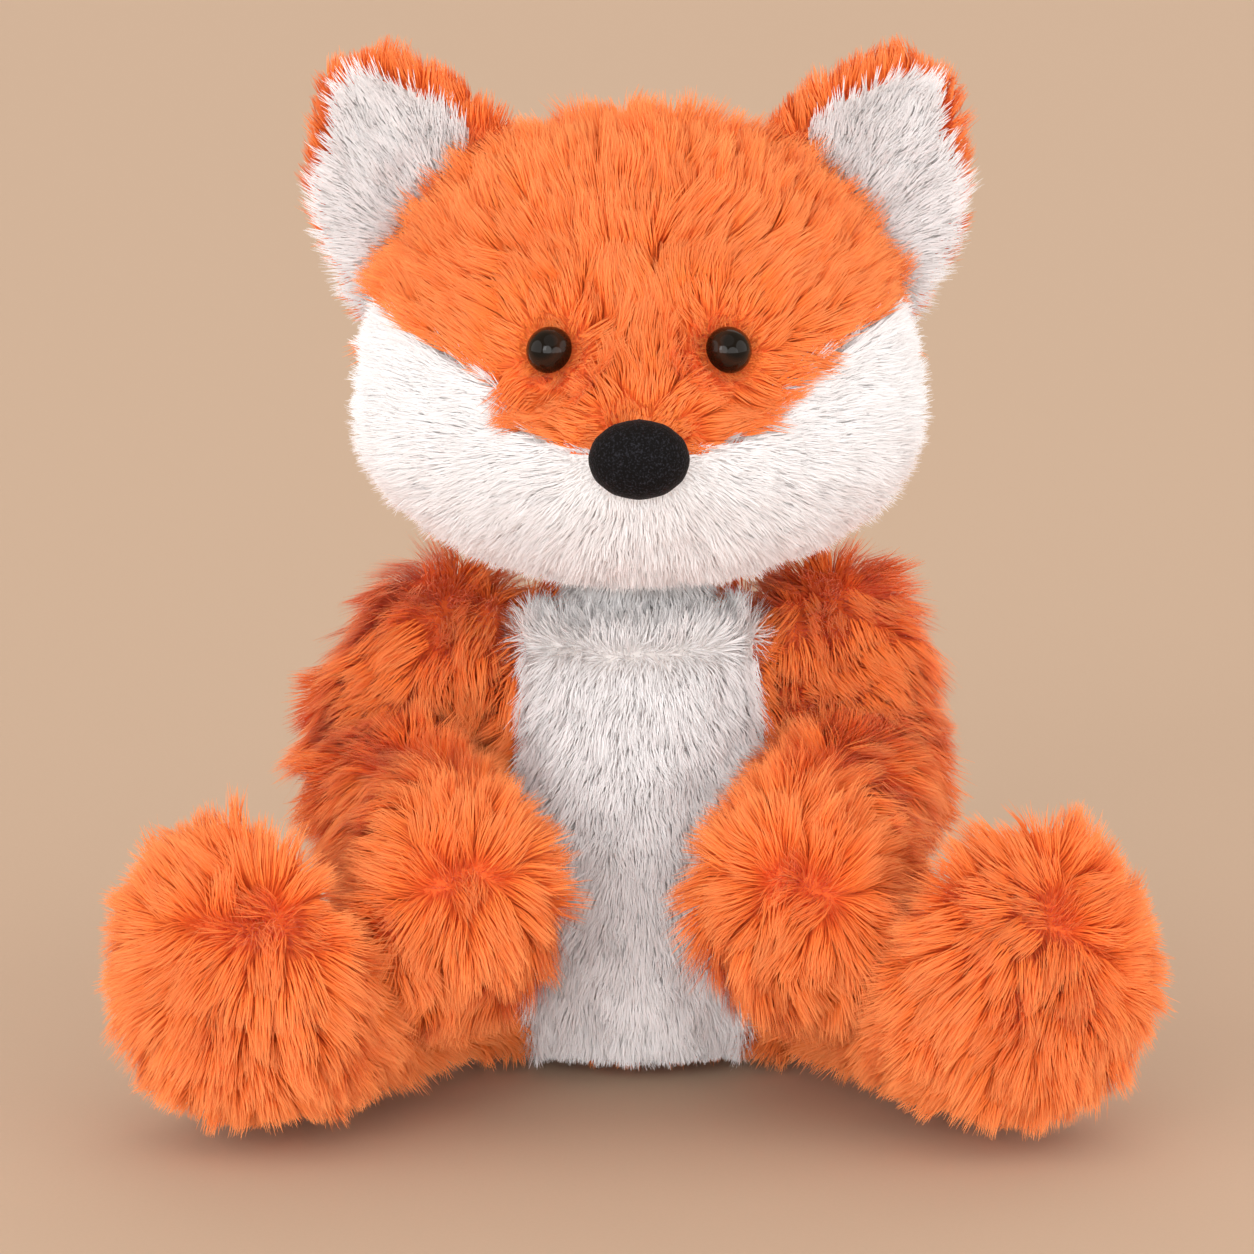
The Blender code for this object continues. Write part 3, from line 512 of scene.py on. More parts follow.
def face_clearing(point):
    """The cover, length and least depth that the eyes and the nose leave the pile at a point."""
    covered, tall, sink = 1.0, 1.0, 0.0
    for place, axis, radius, _ in EYES.values():
        away = point - place
        out = (away - axis * away.dot(axis)).length / radius
        covered *= eased(out, *EYE_BARE)
        tall *= EYE_SHORT + (1 - EYE_SHORT) * eased(out, *EYE_GROWN)
        sink = max(sink, CLEARED * (1 - eased(out, *EYE_SUNK)))
    if point.y < NOSE_TIP.y + NOSE_DEPTH:
        away = point - NOSE_TIP
        out = math.hypot(away.x / NOSE_HALVES[0], away.z / NOSE_HALVES[2])
        covered *= eased(out, *NOSE_BARE)
        tall *= NOSE_SHORT + (1 - NOSE_SHORT) * eased(out, *NOSE_GROWN)
        sink = max(sink, CLEARED * (1 - eased(out, *NOSE_SUNK)))
    return covered, tall, sink


# %% Dress each skin
PRESSED = (-0.004, -0.001)
SHORT_BESIDE, GROWN = 0.75, (0.0, 0.008)
SUNK_BESIDE, SUNK = 0.15, (0.001, 0.012)
FLAT_BESIDE, FLAT = 0.7, (0.001, 0.006)
UNDERSIDE_CUT, UNDERSIDE_TURN, UNDERSIDE_HEIGHT = 0.55, (0.2, 0.9), (0.005, 0.03)
NECK_EDGE = 0.002
CLOTH_FLOOR = 0.0010


def dress(body):
    """Draws a form in to its cloth and returns what the pile needs for each vertex."""
    form = forms[body]
    below = EAR_CLOTH_BELOW_TIPS if body.startswith("ear") else CLOTH_BELOW_TIPS
    kinds, cover, length, naps, moves = [], [], [], [], []
    for vert in form.verts:
        point, normal = vert.co.copy(), vert.normal.copy()
        kinds.append(nearest_panel(body, point))
        free = clearance(body, point)
        covered = eased(free, *PRESSED)
        tall = SHORT_BESIDE + (1 - SHORT_BESIDE) * eased(free, *GROWN)
        sink = SUNK_BESIDE + (1 - SUNK_BESIDE) * eased(free, *SUNK)
        if normal.z < 0:
            turned = eased(-normal.z, *UNDERSIDE_TURN)
            tall *= 1 - UNDERSIDE_CUT * turned * (1 - eased(point.z, *UNDERSIDE_HEIGHT))
        if body == "head":
            face_cover, face_tall, face_sink = face_clearing(point)
            covered *= face_cover
            tall *= face_tall
            sink = max(sink * face_tall, face_sink)
        if body == "neck":
            covered *= 1 - eased(point.y, NECK_MIDDLE - NECK_EDGE, NECK_MIDDLE + NECK_EDGE)
        along = nap(body, point)
        along -= normal * along.dot(normal)
        along *= min(1, 1 / max(along.length, 1e-6))
        cover.append(covered)
        length.append(tall)
        naps.append(along * (FLAT_BESIDE + (1 - FLAT_BESIDE) * eased(free, *FLAT)))
        moves.append(normal * below[PANELS[body][kinds[-1]]] * sink)
    for vert, move in zip(form.verts, moves):
        vert.co -= move
        vert.co.z = max(vert.co.z, CLOTH_FLOOR)
    form.normal_update()
    return kinds, cover, length, naps


dressed = {body: dress(body) for body in PANELS}
for body, (kinds, cover, _, _) in dressed.items():
    print(f"{body}: pile on {100 * sum(cover) / len(cover):.0f}% of its skin")


# %% [markdown]
# ## The stuffed cloth bodies
#
# Each skin becomes a piece of its own, closed and smooth, that stands for the stuffed cloth.
# Its faces take the backing of the panel they belong to, and the neck is orange at its back.

# %% Make the cloth bodies
def shown(name, mesh):
    made = bpy.data.objects.new(name, mesh)
    bpy.context.scene.collection.objects.link(made)
    return made


def cloth_body(body):
    form = forms[body]
    kinds = dressed[body][0]
    for face in form.faces:
        white = sum(PANELS[body][kinds[vert.index]] == WHITE for vert in face.verts)
        face.material_index = 1 if 2 * white > len(face.verts) else 0
        if body == "neck" and face.calc_center_median().y > NECK_MIDDLE:
            face.material_index = 0
        face.smooth = True
    mesh = bpy.data.meshes.new(body + "_cloth")
    form.to_mesh(mesh)
    mesh.materials.append(BACKING[ORANGE])
    mesh.materials.append(BACKING[WHITE])
    return shown(body + "_cloth", mesh)


for form in forms.values():
    form.verts.index_update()
cloths = {body: cloth_body(body) for body in PANELS}
print(len(cloths), "cloth bodies")


# %% [markdown]
# ## Growing pile with Geometry Nodes
#
# Pile repeats one thin strand over a whole surface, which is what Geometry Nodes are for. The
# tree scatters roots over the cloth, scatters a few guides, and bends each strand from its own
# direction towards the tip of the nearest guide, so that strands gather into locks as brushed
# polyester does. Each strand is a narrow blade of a few faces, wide at its root and fine at its
# tip. The blades are realised, so they end as plain mesh.

# %% The pile tree
def tree_inputs(tree, sockets):
    """Adds a Group Input with named sockets and returns its outputs by name."""
    tree.interface.new_socket("Geometry", in_out="INPUT", socket_type="NodeSocketGeometry")
    for name, kind, value in sockets:
        made = tree.interface.new_socket(name, in_out="INPUT", socket_type="NodeSocket" + kind)
        if value is not None:
            made.default_value = value
    tree.interface.new_socket("Geometry", in_out="OUTPUT", socket_type="NodeSocketGeometry")
    return step(tree, "NodeGroupInput").outputs


PILE_INPUTS = (
    ("Strands Per Area", "Float", 1.0e6),
    ("Locks Per Area", "Float", 3.0e4),
    ("Length", "Float", 0.012),
    ("Width", "Float", 0.0004),
    ("Lean", "Float", 0.8),
    ("Stray", "Float", 0.5),
    ("Swirl", "Float", 2.0),
    ("Gather", "Float", 0.6),
    ("Swirl Size", "Float", 0.03),
    ("Strand Shading", "Float", 0.4),
    ("Seed", "Int", 1),
    ("Blade Points", "Int", 4),
    ("Finish", "Material", None),
)


GUIDE_STRAY, STRAND_STRAY = 0.7, 0.45
LOCK_REACH, STRAND_REACH = (0.75, 1.15), (0.8, 1.1)
RISE_LEAN, RISE_HEIGHT = 0.5, 0.9
TWIST = 0.10
NARROWING = 0.88
LOWEST = 0.0003


def pile_tree():
    tree = bpy.data.node_groups.new("grow_pile", "GeometryNodeTree")
    given = tree_inputs(tree, PILE_INPUTS)

    def maths(operation, *values):
        inputs = dict(enumerate(values))
        return step(tree, "ShaderNodeMath", inputs, operation=operation).outputs[0]

    def vectors(operation, *values, **named):
        inputs = {**dict(enumerate(values)), **named}
        node = step(tree, "ShaderNodeVectorMath", inputs, operation=operation)
        return node.outputs["Value" if operation == "DOT_PRODUCT" else "Vector"]

    def attribute(name, kind="FLOAT"):
        node = step(tree, "GeometryNodeInputNamedAttribute", {"Name": name}, data_type=kind)
        return node.outputs["Attribute"]

    def stored(geometry, name, value, kind="FLOAT", domain="POINT"):
        inputs = {"Geometry": geometry, "Name": name, "Value": value}
        node = step(
            tree, "GeometryNodeStoreNamedAttribute", inputs, data_type=kind, domain=domain
        )
        return node.outputs["Geometry"]

    def random(low, high, salt, kind="FLOAT"):
        seed = maths("ADD", given["Seed"], salt)
        node = step(tree, "FunctionNodeRandomValue", {"Seed": seed}, data_type=kind)
        ends = [s for s in node.inputs if s.enabled and s.name in ("Min", "Max")]
        low_socket, high_socket = ends
        low_socket.default_value, high_socket.default_value = low, high
        return next(s for s in node.outputs if s.enabled)

    def scattered(per_area, salt):
        inputs = {
            "Mesh": given["Geometry"],
            "Density": maths("MULTIPLY", per_area, attribute("cover")),
            "Seed": maths("ADD", given["Seed"], salt),
        }
        return step(tree, "GeometryNodeDistributePointsOnFaces", inputs).outputs

    position = step(tree, "GeometryNodeInputPosition").outputs["Position"]

    def aimed(normal, mess_share, salt):
        """The direction of a strand: up from the cloth, over with the nap, and astray."""
        per_metre = maths("DIVIDE", 1.0, given["Swirl Size"])
        inputs = {"Vector": position, "Scale": per_metre, "Detail": 1.0}
        place = step(tree, "ShaderNodeTexNoise", inputs).outputs["Color"]
        swirl = vectors("SUBTRACT", place, (0.5, 0.5, 0.5))
        lean = vectors("SCALE", attribute("nap", "FLOAT_VECTOR"), Scale=given["Lean"])
        stray = random((-1, -1, -1), (1, 1, 1), salt, "FLOAT_VECTOR")
        stray = vectors("SCALE", stray, Scale=maths("MULTIPLY", given["Stray"], mess_share))
        swirl = vectors("SCALE", swirl, Scale=given["Swirl"])
        lifted = vectors("DOT_PRODUCT", swirl, normal)
        swirl = vectors("SUBTRACT", swirl, vectors("SCALE", normal, Scale=lifted))
        total = vectors("ADD", vectors("ADD", normal, lean), vectors("ADD", swirl, stray))
        return vectors("NORMALIZE", total)

    guides = scattered(given["Locks Per Area"], 11)
    guide_aims = aimed(guides["Normal"], GUIDE_STRAY, 21)
    guide_points = stored(guides["Points"], "aim", guide_aims, "FLOAT_VECTOR")
    guide_points = stored(guide_points, "lock", random(0.0, 1.0, 22))
    guide_points = stored(guide_points, "reach", random(*LOCK_REACH, 23))

    roots = scattered(given["Strands Per Area"], 1)
    near = step(
        tree, "GeometryNodeSampleNearest", {"Geometry": guide_points, "Sample Position": position}
    ).outputs["Index"]

    def of_guide(value, kind):
        inputs = {"Geometry": guide_points, "Value": value, "Index": near}
        return step(tree, "GeometryNodeSampleIndex", inputs, data_type=kind).outputs["Value"]

    long = maths("MULTIPLY", given["Length"], attribute("tall"))
    own = aimed(roots["Normal"], STRAND_STRAY, 31)
    guide_place = of_guide(position, "FLOAT_VECTOR")
    guide_aim = of_guide(attribute("aim", "FLOAT_VECTOR"), "FLOAT_VECTOR")
    guide_reach = of_guide(attribute("reach"), "FLOAT")
    guide_lock = of_guide(attribute("lock"), "FLOAT")
    length = maths("MULTIPLY", maths("MULTIPLY", long, guide_reach), random(*STRAND_REACH, 32))
    own_tip = vectors("SCALE", own, Scale=length)
    lock_tip = vectors(
        "ADD", vectors("SUBTRACT", guide_place, position), vectors("SCALE", guide_aim, Scale=length)
    )
    tip = step(
        tree,
        "ShaderNodeMix",
        {"Factor": given["Gather"], 4: own_tip, 5: lock_tip},
        data_type="VECTOR",
    ).outputs[1]
    rise = vectors("ADD", roots["Normal"], vectors("SCALE", own, Scale=RISE_LEAN))
    rise = vectors("NORMALIZE", rise)
    rise = vectors("SCALE", rise, Scale=maths("MULTIPLY", length, RISE_HEIGHT))
    soft = maths("MULTIPLY", vectors("DOT_PRODUCT", roots["Normal"], own), given["Strand Shading"])
    facing = vectors("SUBTRACT", roots["Normal"], vectors("SCALE", own, Scale=soft))
    twist = vectors("SCALE", random((-1, -1, -1), (1, 1, 1), 33, "FLOAT_VECTOR"), Scale=TWIST)
    across = vectors("ADD", vectors("CROSS_PRODUCT", own, roots["Normal"]), twist)
    across = vectors("SCALE", vectors("NORMALIZE", across), Scale=given["Width"])

    points = roots["Points"]
    for name, value, kind in (
        ("root", position, "FLOAT_VECTOR"),
        ("tip", tip, "FLOAT_VECTOR"),
        ("rise", rise, "FLOAT_VECTOR"),
        ("across", across, "FLOAT_VECTOR"),
        ("facing", facing, "FLOAT_VECTOR"),
        ("tone", random(0.0, 1.0, 34), "FLOAT"),
        ("lock", guide_lock, "FLOAT"),
    ):
        points = stored(points, name, value, kind)

    blade = step(
        tree,
        "GeometryNodeMeshGrid",
        {"Size X": 1.0, "Size Y": 1.0, "Vertices X": 2, "Vertices Y": given["Blade Points"]},
    ).outputs["Mesh"]
    parts = step(tree, "ShaderNodeSeparateXYZ", {"Vector": position}).outputs
    blade = stored(blade, "along", maths("ADD", parts["Y"], 0.5))
    blade = stored(blade, "sideways", parts["X"])
    strands = step(
        tree, "GeometryNodeInstanceOnPoints", {"Points": points, "Instance": blade}
    ).outputs["Instances"]
    strands = step(tree, "GeometryNodeRealizeInstances", {"Geometry": strands}).outputs["Geometry"]

    share = attribute("along")
    squared = maths("MULTIPLY", share, share)
    taper = maths("SUBTRACT", 1.0, maths("MULTIPLY", squared, NARROWING))
    bend = vectors("SUBTRACT", attribute("tip", "FLOAT_VECTOR"), attribute("rise", "FLOAT_VECTOR"))
    path = vectors(
        "ADD",
        vectors("SCALE", attribute("rise", "FLOAT_VECTOR"), Scale=share),
        vectors("SCALE", bend, Scale=squared),
    )
    wide = vectors(
        "SCALE",
        attribute("across", "FLOAT_VECTOR"),
        Scale=maths("MULTIPLY", attribute("sideways"), taper),
    )
    place = vectors("ADD", attribute("root", "FLOAT_VECTOR"), vectors("ADD", path, wide))
    parts = step(tree, "ShaderNodeSeparateXYZ", {"Vector": place}).outputs
    above = maths("MAXIMUM", parts["Z"], LOWEST)
    place = step(
        tree, "ShaderNodeCombineXYZ", {"X": parts["X"], "Y": parts["Y"], "Z": above}
    ).outputs["Vector"]
    strands = step(
        tree, "GeometryNodeSetPosition", {"Geometry": strands, "Position": place}
    ).outputs["Geometry"]
    facing = vectors("NORMALIZE", attribute("facing", "FLOAT_VECTOR"))
    strands = step(
        tree,
        "GeometryNodeSetMeshNormal",
        {"Mesh": strands, "Custom Normal": facing},
        mode="FREE",
        domain="POINT",
    ).outputs["Mesh"]
    spent = ("root", "tip", "rise", "across", "facing", "sideways", "nap", "cover", "tall")
    for name in spent:
        strands = step(
            tree, "GeometryNodeRemoveAttribute", {"Geometry": strands, "Name": name}
        ).outputs["Geometry"]
    finished = step(
        tree, "GeometryNodeSetMaterial", {"Geometry": strands, "Material": given["Finish"]}
    ).outputs["Geometry"]
    step(tree, "NodeGroupOutput", {"Geometry": finished})
    return tree


grow_pile = pile_tree()
print("the pile tree has", len(grow_pile.nodes), "nodes")

# %% [markdown]
# ## The pile of each panel
#
# The long orange pile is brushed into loose locks that stray a good deal. The short white pile
# is denser and lies smooth. Each panel's patch of skin is handed to the tree with its own seed.
# The ears and the tail's tip have lengths of their own, and the hidden seat has fewer strands.

# %% Settings of each pile
PILE_SETTINGS = {
    ORANGE: {
        "Strands Per Area": 2.42e6,
        "Locks Per Area": 5.0e4,
        "Length": 0.0135,
        "Width": 0.00038,
        "Lean": 1.0,
        "Stray": 0.60,
        "Swirl": 2.8,
        "Swirl Size": 0.013,
        "Gather": 0.40,
        "Strand Shading": 0.30,
        "Blade Points": 3,
    },
    WHITE: {
        "Strands Per Area": 2.85e6,
        "Locks Per Area": 1.0e5,
        "Length": 0.0078,
        "Width": 0.00040,
        "Lean": 1.2,
        "Stray": 0.65,
        "Swirl": 1.6,
        "Swirl Size": 0.008,
        "Gather": 0.08,
        "Strand Shading": 0.15,
        "Blade Points": 3,
    },
}
SEED_STEP = 100
THINNER = {"seat_panel": 0.55}
LENGTHS = {"ear_back": 0.0085, "ear_front": 0.0080, "tail_tip": 0.0120}


def patch_of(body, node):
    """The faces of a skin that belong to one panel, with the pile's attributes on its vertices."""
    kinds, cover, tall, naps = dressed[body]
    form = forms[body]
    faces = [f for f in form.faces if nearest(kinds, f) == node]
    used = sorted({vert.index for face in faces for vert in face.verts})
    order = {index: place for place, index in enumerate(used)}
    form.verts.ensure_lookup_table()
    mesh = bpy.data.meshes.new(node)
    mesh.from_pydata(
        [form.verts[index].co[:] for index in used],
        [],
        [[order[vert.index] for vert in face.verts] for face in faces],
    )
    for name, values in (("cover", cover), ("tall", tall)):
        layer = mesh.attributes.new(name, "FLOAT", "POINT")
        layer.data.foreach_set("value", [values[index] for index in used])
    layer = mesh.attributes.new("nap", "FLOAT_VECTOR", "POINT")
    layer.data.foreach_set("vector", [v for index in used for v in naps[index]])
    return mesh


def nearest(kinds, face):
    """The panel that most of a face's corners belong to."""
    names = [kinds[vert.index] for vert in face.verts]
    return max(sorted(set(names)), key=names.count)


def grown(body, node, seed):
    colour = PANELS[body][node]
    settings = dict(PILE_SETTINGS[colour])
    for start, length in LENGTHS.items():
        if node.startswith(start):
            settings["Length"] = length
    settings["Strands Per Area"] *= THINNER.get(node, 1)
    helper = shown("patch", patch_of(body, node))
    modifier = helper.modifiers.new("pile", "NODES")
    modifier.node_group = grow_pile
    keys = {s.name: s.identifier for s in grow_pile.interface.items_tree if s.in_out == "INPUT"}
    for name, value in settings.items():
        modifier[keys[name]] = value
    modifier[keys["Seed"]] = seed
    modifier[keys["Finish"]] = PILE[colour]
    helper.update_tag()
    graph = bpy.context.evaluated_depsgraph_get()
    mesh = bpy.data.meshes.new_from_object(helper.evaluated_get(graph))
    mesh.name = node.replace("_panel", "").replace("_stuffing", "") + "_pile"
    bpy.data.objects.remove(helper)
    return shown(mesh.name, mesh)


piles = {}
for body, panels in PANELS.items():
    for node in panels:
        piles[node] = grown(body, node, SEED_STEP * (len(piles) + 1))
triangles = {node: 2 * len(pile.data.polygons) for node, pile in piles.items()}
print(f"{sum(triangles.values())} triangles, most in one {max(triangles.values())}")

# %% [markdown]
# ## Safety eyes: glossy moulded plastic
#
# A safety eye is a moulded dome, clear over a painted back, so it looks black in the middle with
# a very dark brown ring. The ring's place is stored on the dome as an attribute.

# %% Eyes
EYE_RINGS, EYE_SEGMENTS = 24, 64
EYE_BACK = 0.35
IRIS_INNER, IRIS = 0.50, 0.72
ACRYLIC_IOR = 1.49


def eye_material():
    made, tree, shader = blank_material("moulded_eye_plastic_black")
    rim = step(tree, "ShaderNodeAttribute", attribute_name="rim")
    ramp = step(tree, "ShaderNodeValToRGB", {"Fac": rim.outputs["Fac"]})
    stops = ramp.color_ramp.elements
    stops[0].position, stops[0].color = IRIS_INNER, linear("#050404")
    stops[1].position, stops[1].color = 1.0, linear("#120805")
    ring = stops.new(IRIS)
    ring.color = linear("#2C150B")
    tree.links.new(ramp.outputs["Color"], shader.inputs["Base Color"])
    shader.inputs["Roughness"].default_value = 0.06
    shader.inputs["IOR"].default_value = ACRYLIC_IOR
    shader.inputs["Specular IOR Level"].default_value = 0.30
    return made


def dome(side, finish):
    """A smooth closed eye on the frame of its CAD solid, with each point's way out to its rim."""
    place, axis, radius, high = EYES[side]
    turned = axis.to_track_quat("Z", "Y").to_matrix().to_4x4()
    form = bmesh.new()
    bmesh.ops.create_uvsphere(form, u_segments=EYE_SEGMENTS, v_segments=EYE_RINGS, radius=1.0)
    rim = [math.hypot(v.co.x, v.co.y) for v in form.verts]
    for vert in form.verts:
        x, y, z = vert.co
        vert.co = radius * x, radius * y, high * (z if z > 0 else EYE_BACK * z)
    bmesh.ops.transform(form, matrix=Matrix.Translation(place) @ turned, verts=form.verts)
    name = f"eye_{side}_dome"
    mesh = bpy.data.meshes.new(name)
    form.to_mesh(mesh)
    form.free()
    layer = mesh.attributes.new("rim", "FLOAT", "POINT")
    layer.data.foreach_set("value", rim)
    for face in mesh.polygons:
        face.use_smooth = True
    mesh.materials.append(finish)
    return shown(name, mesh)


EYE_PLASTIC = eye_material()
eyes = {side: dome(side, EYE_PLASTIC) for side in EYES}
print(", ".join(eye.name for eye in eyes.values()))

# %% [markdown]
# ## Nose: black velour
#
# The nose is a small cushion of short velour, which drinks the light and shows stray specks.

# %% Velour
VELOUR_GRAINS_PER_METRE = 1800.0
VELOUR_DEPTH = 0.0003


def velour_material():
    made, tree, shader = blank_material("knitted_velour_black")
    place = step(tree, "ShaderNodeTexCoord").outputs["Object"]
    grain = {"Vector": place, "Scale": VELOUR_GRAINS_PER_METRE, "Detail": 3.0}
    specks = step(tree, "ShaderNodeTexNoise", grain)
    ramp = step(tree, "ShaderNodeValToRGB", {"Fac": specks.outputs["Fac"]})
    stops = ramp.color_ramp.elements
    stops[0].position, stops[0].color = 0.50, linear("#040406")
    stops[1].position, stops[1].color = 0.82, linear("#34343C")
    bump = step(
        tree,
        "ShaderNodeBump",
        {"Height": specks.outputs["Fac"], "Strength": 0.6, "Distance": VELOUR_DEPTH},
    )
    tree.links.new(ramp.outputs["Color"], shader.inputs["Base Color"])
    tree.links.new(bump.outputs["Normal"], shader.inputs["Normal"])
    shader.inputs["Roughness"].default_value = 0.85
    shader.inputs["Specular IOR Level"].default_value = 0.2
    shader.inputs["Sheen Weight"].default_value = 0.05
    shader.inputs["Sheen Roughness"].default_value = 0.4
    return made


# %% Nose cushion
NOSE_VOXEL = 0.0007
NOSE_ROUNDS = 24


def smooth_piece(name, nodes, voxel, rounds, finish):
    """A rounded closed piece in place of some faceted CAD nodes."""
    form = joined_form(nodes, voxel, rounds)
    for face in form.faces:
        face.smooth = True
    mesh = bpy.data.meshes.new(name)
    form.to_mesh(mesh)
    form.free()
    mesh.materials.append(finish)
    return shown(name, mesh)


NOSE_NODES = ["nose_cover", "nose_stuffing"]
nose = smooth_piece("nose_cushion", NOSE_NODES, NOSE_VOXEL, NOSE_ROUNDS, velour_material())
print("nose faces", len(nose.data.polygons))

# %% [markdown]
# ## Inside the toy: nylon washers and a calico pouch
#
# A washer is pressed on each eye's shank behind the cloth, and a calico bag of beans lies low in
# the torso. Neither shows, but both are pieces of the real toy and get their own finish.

# %% Washers and bean pouch
WASHER_GRAINS_PER_METRE = 2500.0
NYLON_IOR = 1.5
POUCH_ROUNDS = 8


def washer_material():
    made, tree, shader = blank_material("moulded_washer_nylon")
    place = step(tree, "ShaderNodeTexCoord").outputs["Object"]
    grain = {"Vector": place, "Scale": WASHER_GRAINS_PER_METRE, "Detail": 2.0}
    specks = step(tree, "ShaderNodeTexNoise", grain)
    ramp = step(tree, "ShaderNodeValToRGB", {"Fac": specks.outputs["Fac"]})
    ramp.color_ramp.elements[0].color = linear("#E6E2DA")
    ramp.color_ramp.elements[1].color = linear("#F4F1EA")
    tree.links.new(ramp.outputs["Color"], shader.inputs["Base Color"])
    shader.inputs["Roughness"].default_value = 0.4
    shader.inputs["IOR"].default_value = NYLON_IOR
    return made


WASHER_NYLON = washer_material()
for side in EYES:
    washer = frame["nodes"]["eye_washer_" + side]
    washer.data.materials.clear()
    washer.data.materials.append(WASHER_NYLON)

CALICO = backing_material("woven_calico", "#D0C2A8", "#E2D6BE")
pouch = smooth_piece("bean_pouch_cloth", ["bean_pouch"], VOXEL, POUCH_ROUNDS, CALICO)
print("pouch faces", len(pouch.data.polygons))

# %% [markdown]
# ## Camera, light and room
#
# The photograph looks down on the toy by about eleven degrees through a long lens, against a
# seamless warm paper. Large soft lamps stand above and to both sides, so shadows stay faint.

# %% Camera
CAMERA_DISTANCE = 1.6
SENSOR_WIDTH = 36.0
CAMERA_ELEVATION = math.radians(11)
LOOK_AT = Vector((-0.003, -0.020, 0.119))

camera = bpy.data.objects.new("camera", bpy.data.cameras.new("camera"))
bpy.context.scene.collection.objects.link(camera)
camera.data.sensor_width = SENSOR_WIDTH
camera.data.lens = SENSOR_WIDTH * CAMERA_DISTANCE / (PIXELS * PIXEL)
back = Vector((0, -math.cos(CAMERA_ELEVATION), math.sin(CAMERA_ELEVATION)))
camera.location = LOOK_AT + back * CAMERA_DISTANCE
camera.rotation_euler = (-back).to_track_quat("-Z", "Y").to_euler()
bpy.context.scene.camera = camera
print(f"lens {camera.data.lens:.0f} mm")


# %% Rays that show a thing
def seen_directly(tree):
    """1 where the camera sees a thing straight, in a reflection or through glass, else 0."""
    path = step(tree, "ShaderNodeLightPath").outputs
    seen = path["Is Camera Ray"]
    for ray in ("Is Glossy Ray", "Is Transmission Ray"):
        either = step(tree, "ShaderNodeMath", {0: seen, 1: path[ray]}, operation="MAXIMUM")
        seen = either.outputs[0]
    return seen


# %% Floor and backdrop
PAPER_GRAINS_PER_METRE = 900.0
FLOOR_RADIUS = 12.0
FLOOR_SEGMENTS = 96


def paper_material():
    made, tree, shader = blank_material("matte_backdrop_paper")
    place = step(tree, "ShaderNodeTexCoord")
    grain = {"Vector": place.outputs["Object"], "Scale": PAPER_GRAINS_PER_METRE, "Detail": 2.0}
    specks = step(tree, "ShaderNodeTexNoise", grain)
    ramp = step(tree, "ShaderNodeValToRGB", {"Fac": specks.outputs["Fac"]})
    ramp.color_ramp.elements[0].color = linear("#CDB197")
    ramp.color_ramp.elements[1].color = linear("#D1B59B")
    inputs = {"Factor": seen_directly(tree), "A": linear("#F0E7E1"), "B": ramp.outputs["Color"]}
    shown_colour = step(tree, "ShaderNodeMix", inputs, data_type="RGBA")
    tree.links.new(shown_colour.outputs["Result"], shader.inputs["Base Color"])
    shader.inputs["Roughness"].default_value = 0.95
    shader.inputs["Specular IOR Level"].default_value = 0.1
    return made


def floor_disc(finish):
    form = bmesh.new()
    bmesh.ops.create_circle(form, cap_ends=True, segments=FLOOR_SEGMENTS, radius=FLOOR_RADIUS)
    mesh = bpy.data.meshes.new("floor")
    form.to_mesh(mesh)
    form.free()
    mesh.materials.append(finish)
    return shown("floor", mesh)


floor_disc(paper_material())
print("floor", 2 * FLOOR_RADIUS, "m across")


# %% Lamps
def soft_sun(name, azimuth, elevation, spread, strength):
    """A wide, soft sun that shines on the toy from an azimuth (0 is the front) and elevation."""
    lamp = bpy.data.lights.new(name, "SUN")
    lamp.angle = math.radians(spread)
    lamp.energy = strength
    made = bpy.data.objects.new(name, lamp)
    bpy.context.scene.collection.objects.link(made)
    turn, lift = math.radians(azimuth), math.radians(elevation)
    toward = Vector(
        (math.sin(turn) * math.cos(lift), -math.cos(turn) * math.cos(lift), math.sin(lift))
    )
    made.rotation_euler = toward.to_track_quat("Z", "Y").to_euler()
    return made


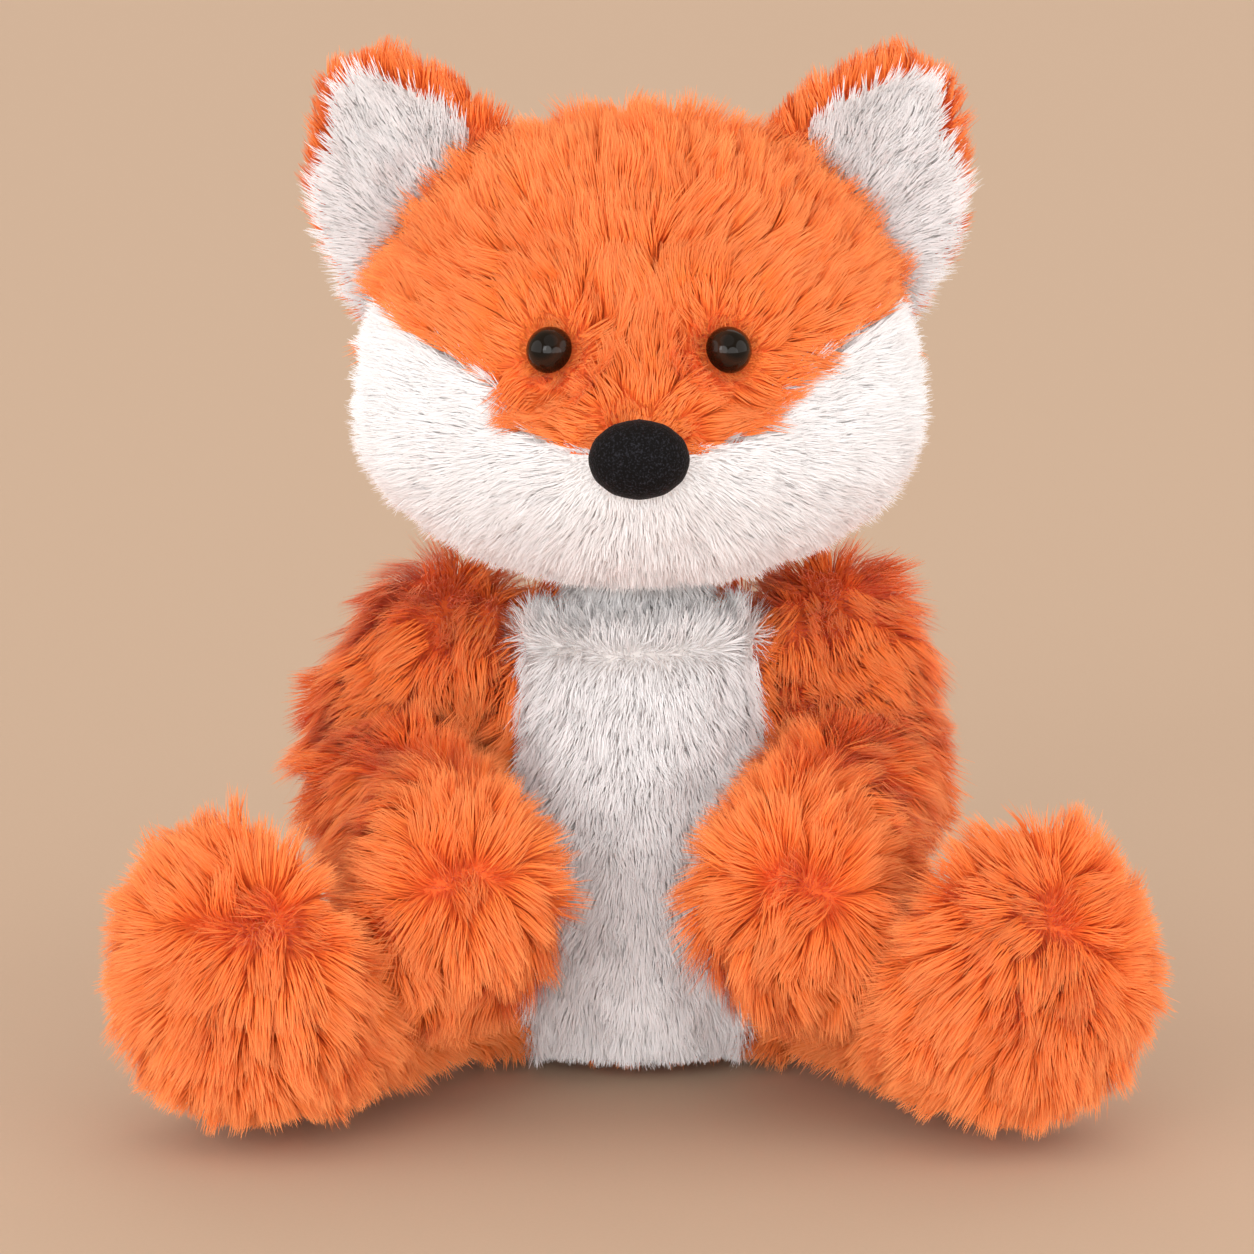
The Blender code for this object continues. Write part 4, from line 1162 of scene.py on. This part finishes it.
SUNS = (
    ("key_lamp", -18, 12, 40, 1.12),
    ("fill_lamp", 26, 0, 50, 1.10),
    ("side_lamp_a", -75, 12, 60, 0.80),
    ("side_lamp_b", 75, 12, 60, 0.80),
    ("top_lamp", 0, 60, 60, 0.25),
    ("back_lamp", 170, 35, 60, 0.60),
)
for sun in SUNS:
    soft_sun(*sun)
print(len(SUNS), "soft suns")

# %% Window lamp
WINDOW_PLACE = Vector((-0.75, -1.3, 0.75))
WINDOW_AIM = Vector((0, 0, 0.15))
window = bpy.data.lights.new("window_lamp", "AREA")
window.shape = "RECTANGLE"
window.size = 0.35
window.size_y = 0.5
window.energy = 1.6
window_object = bpy.data.objects.new("window_lamp", window)
bpy.context.scene.collection.objects.link(window_object)
window_object.location = WINDOW_PLACE
window_object.rotation_euler = (WINDOW_PLACE - WINDOW_AIM).to_track_quat("Z", "Y").to_euler()
print(f"window lamp {(WINDOW_PLACE - WINDOW_AIM).length:.2f} m away")

# %% World
WORLD_LEVEL = 0.62
world = bpy.data.worlds.new("studio")
bpy.context.scene.world = world
world.use_nodes = True
sky = world.node_tree
sky.nodes.clear()
light = step(sky, "ShaderNodeBackground", {"Color": linear("#FFF7F2"), "Strength": WORLD_LEVEL})
paper = step(sky, "ShaderNodeBackground", {"Color": linear("#CFB194"), "Strength": 1.0})
shaders = {0: seen_directly(sky), 1: light.outputs[0], 2: paper.outputs[0]}
both = step(sky, "ShaderNodeMixShader", shaders)
step(sky, "ShaderNodeOutputWorld", {"Surface": both.outputs[0]})
bpy.context.scene.view_settings.view_transform = "Standard"
print("world with", len(sky.nodes), "nodes")

# %% [markdown]
# ## Joining everything to the frame
#
# Each piece rides on the body that carries it, and stands for the CAD nodes that it replaces.

# %% Ride and replace
for body, cloth in cloths.items():
    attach(cloth, body)
    if STUFFING[body] in frame["nodes"]:
        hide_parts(STUFFING[body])
    for node, colour in PANELS[body].items():
        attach(piles[node], body)
        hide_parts(node)

for side, eye in eyes.items():
    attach(eye, "head")
    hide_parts("eye_" + side)
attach(nose, "head")
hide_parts("nose_cover", "nose_stuffing")
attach(pouch, "torso")
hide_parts("bean_pouch")
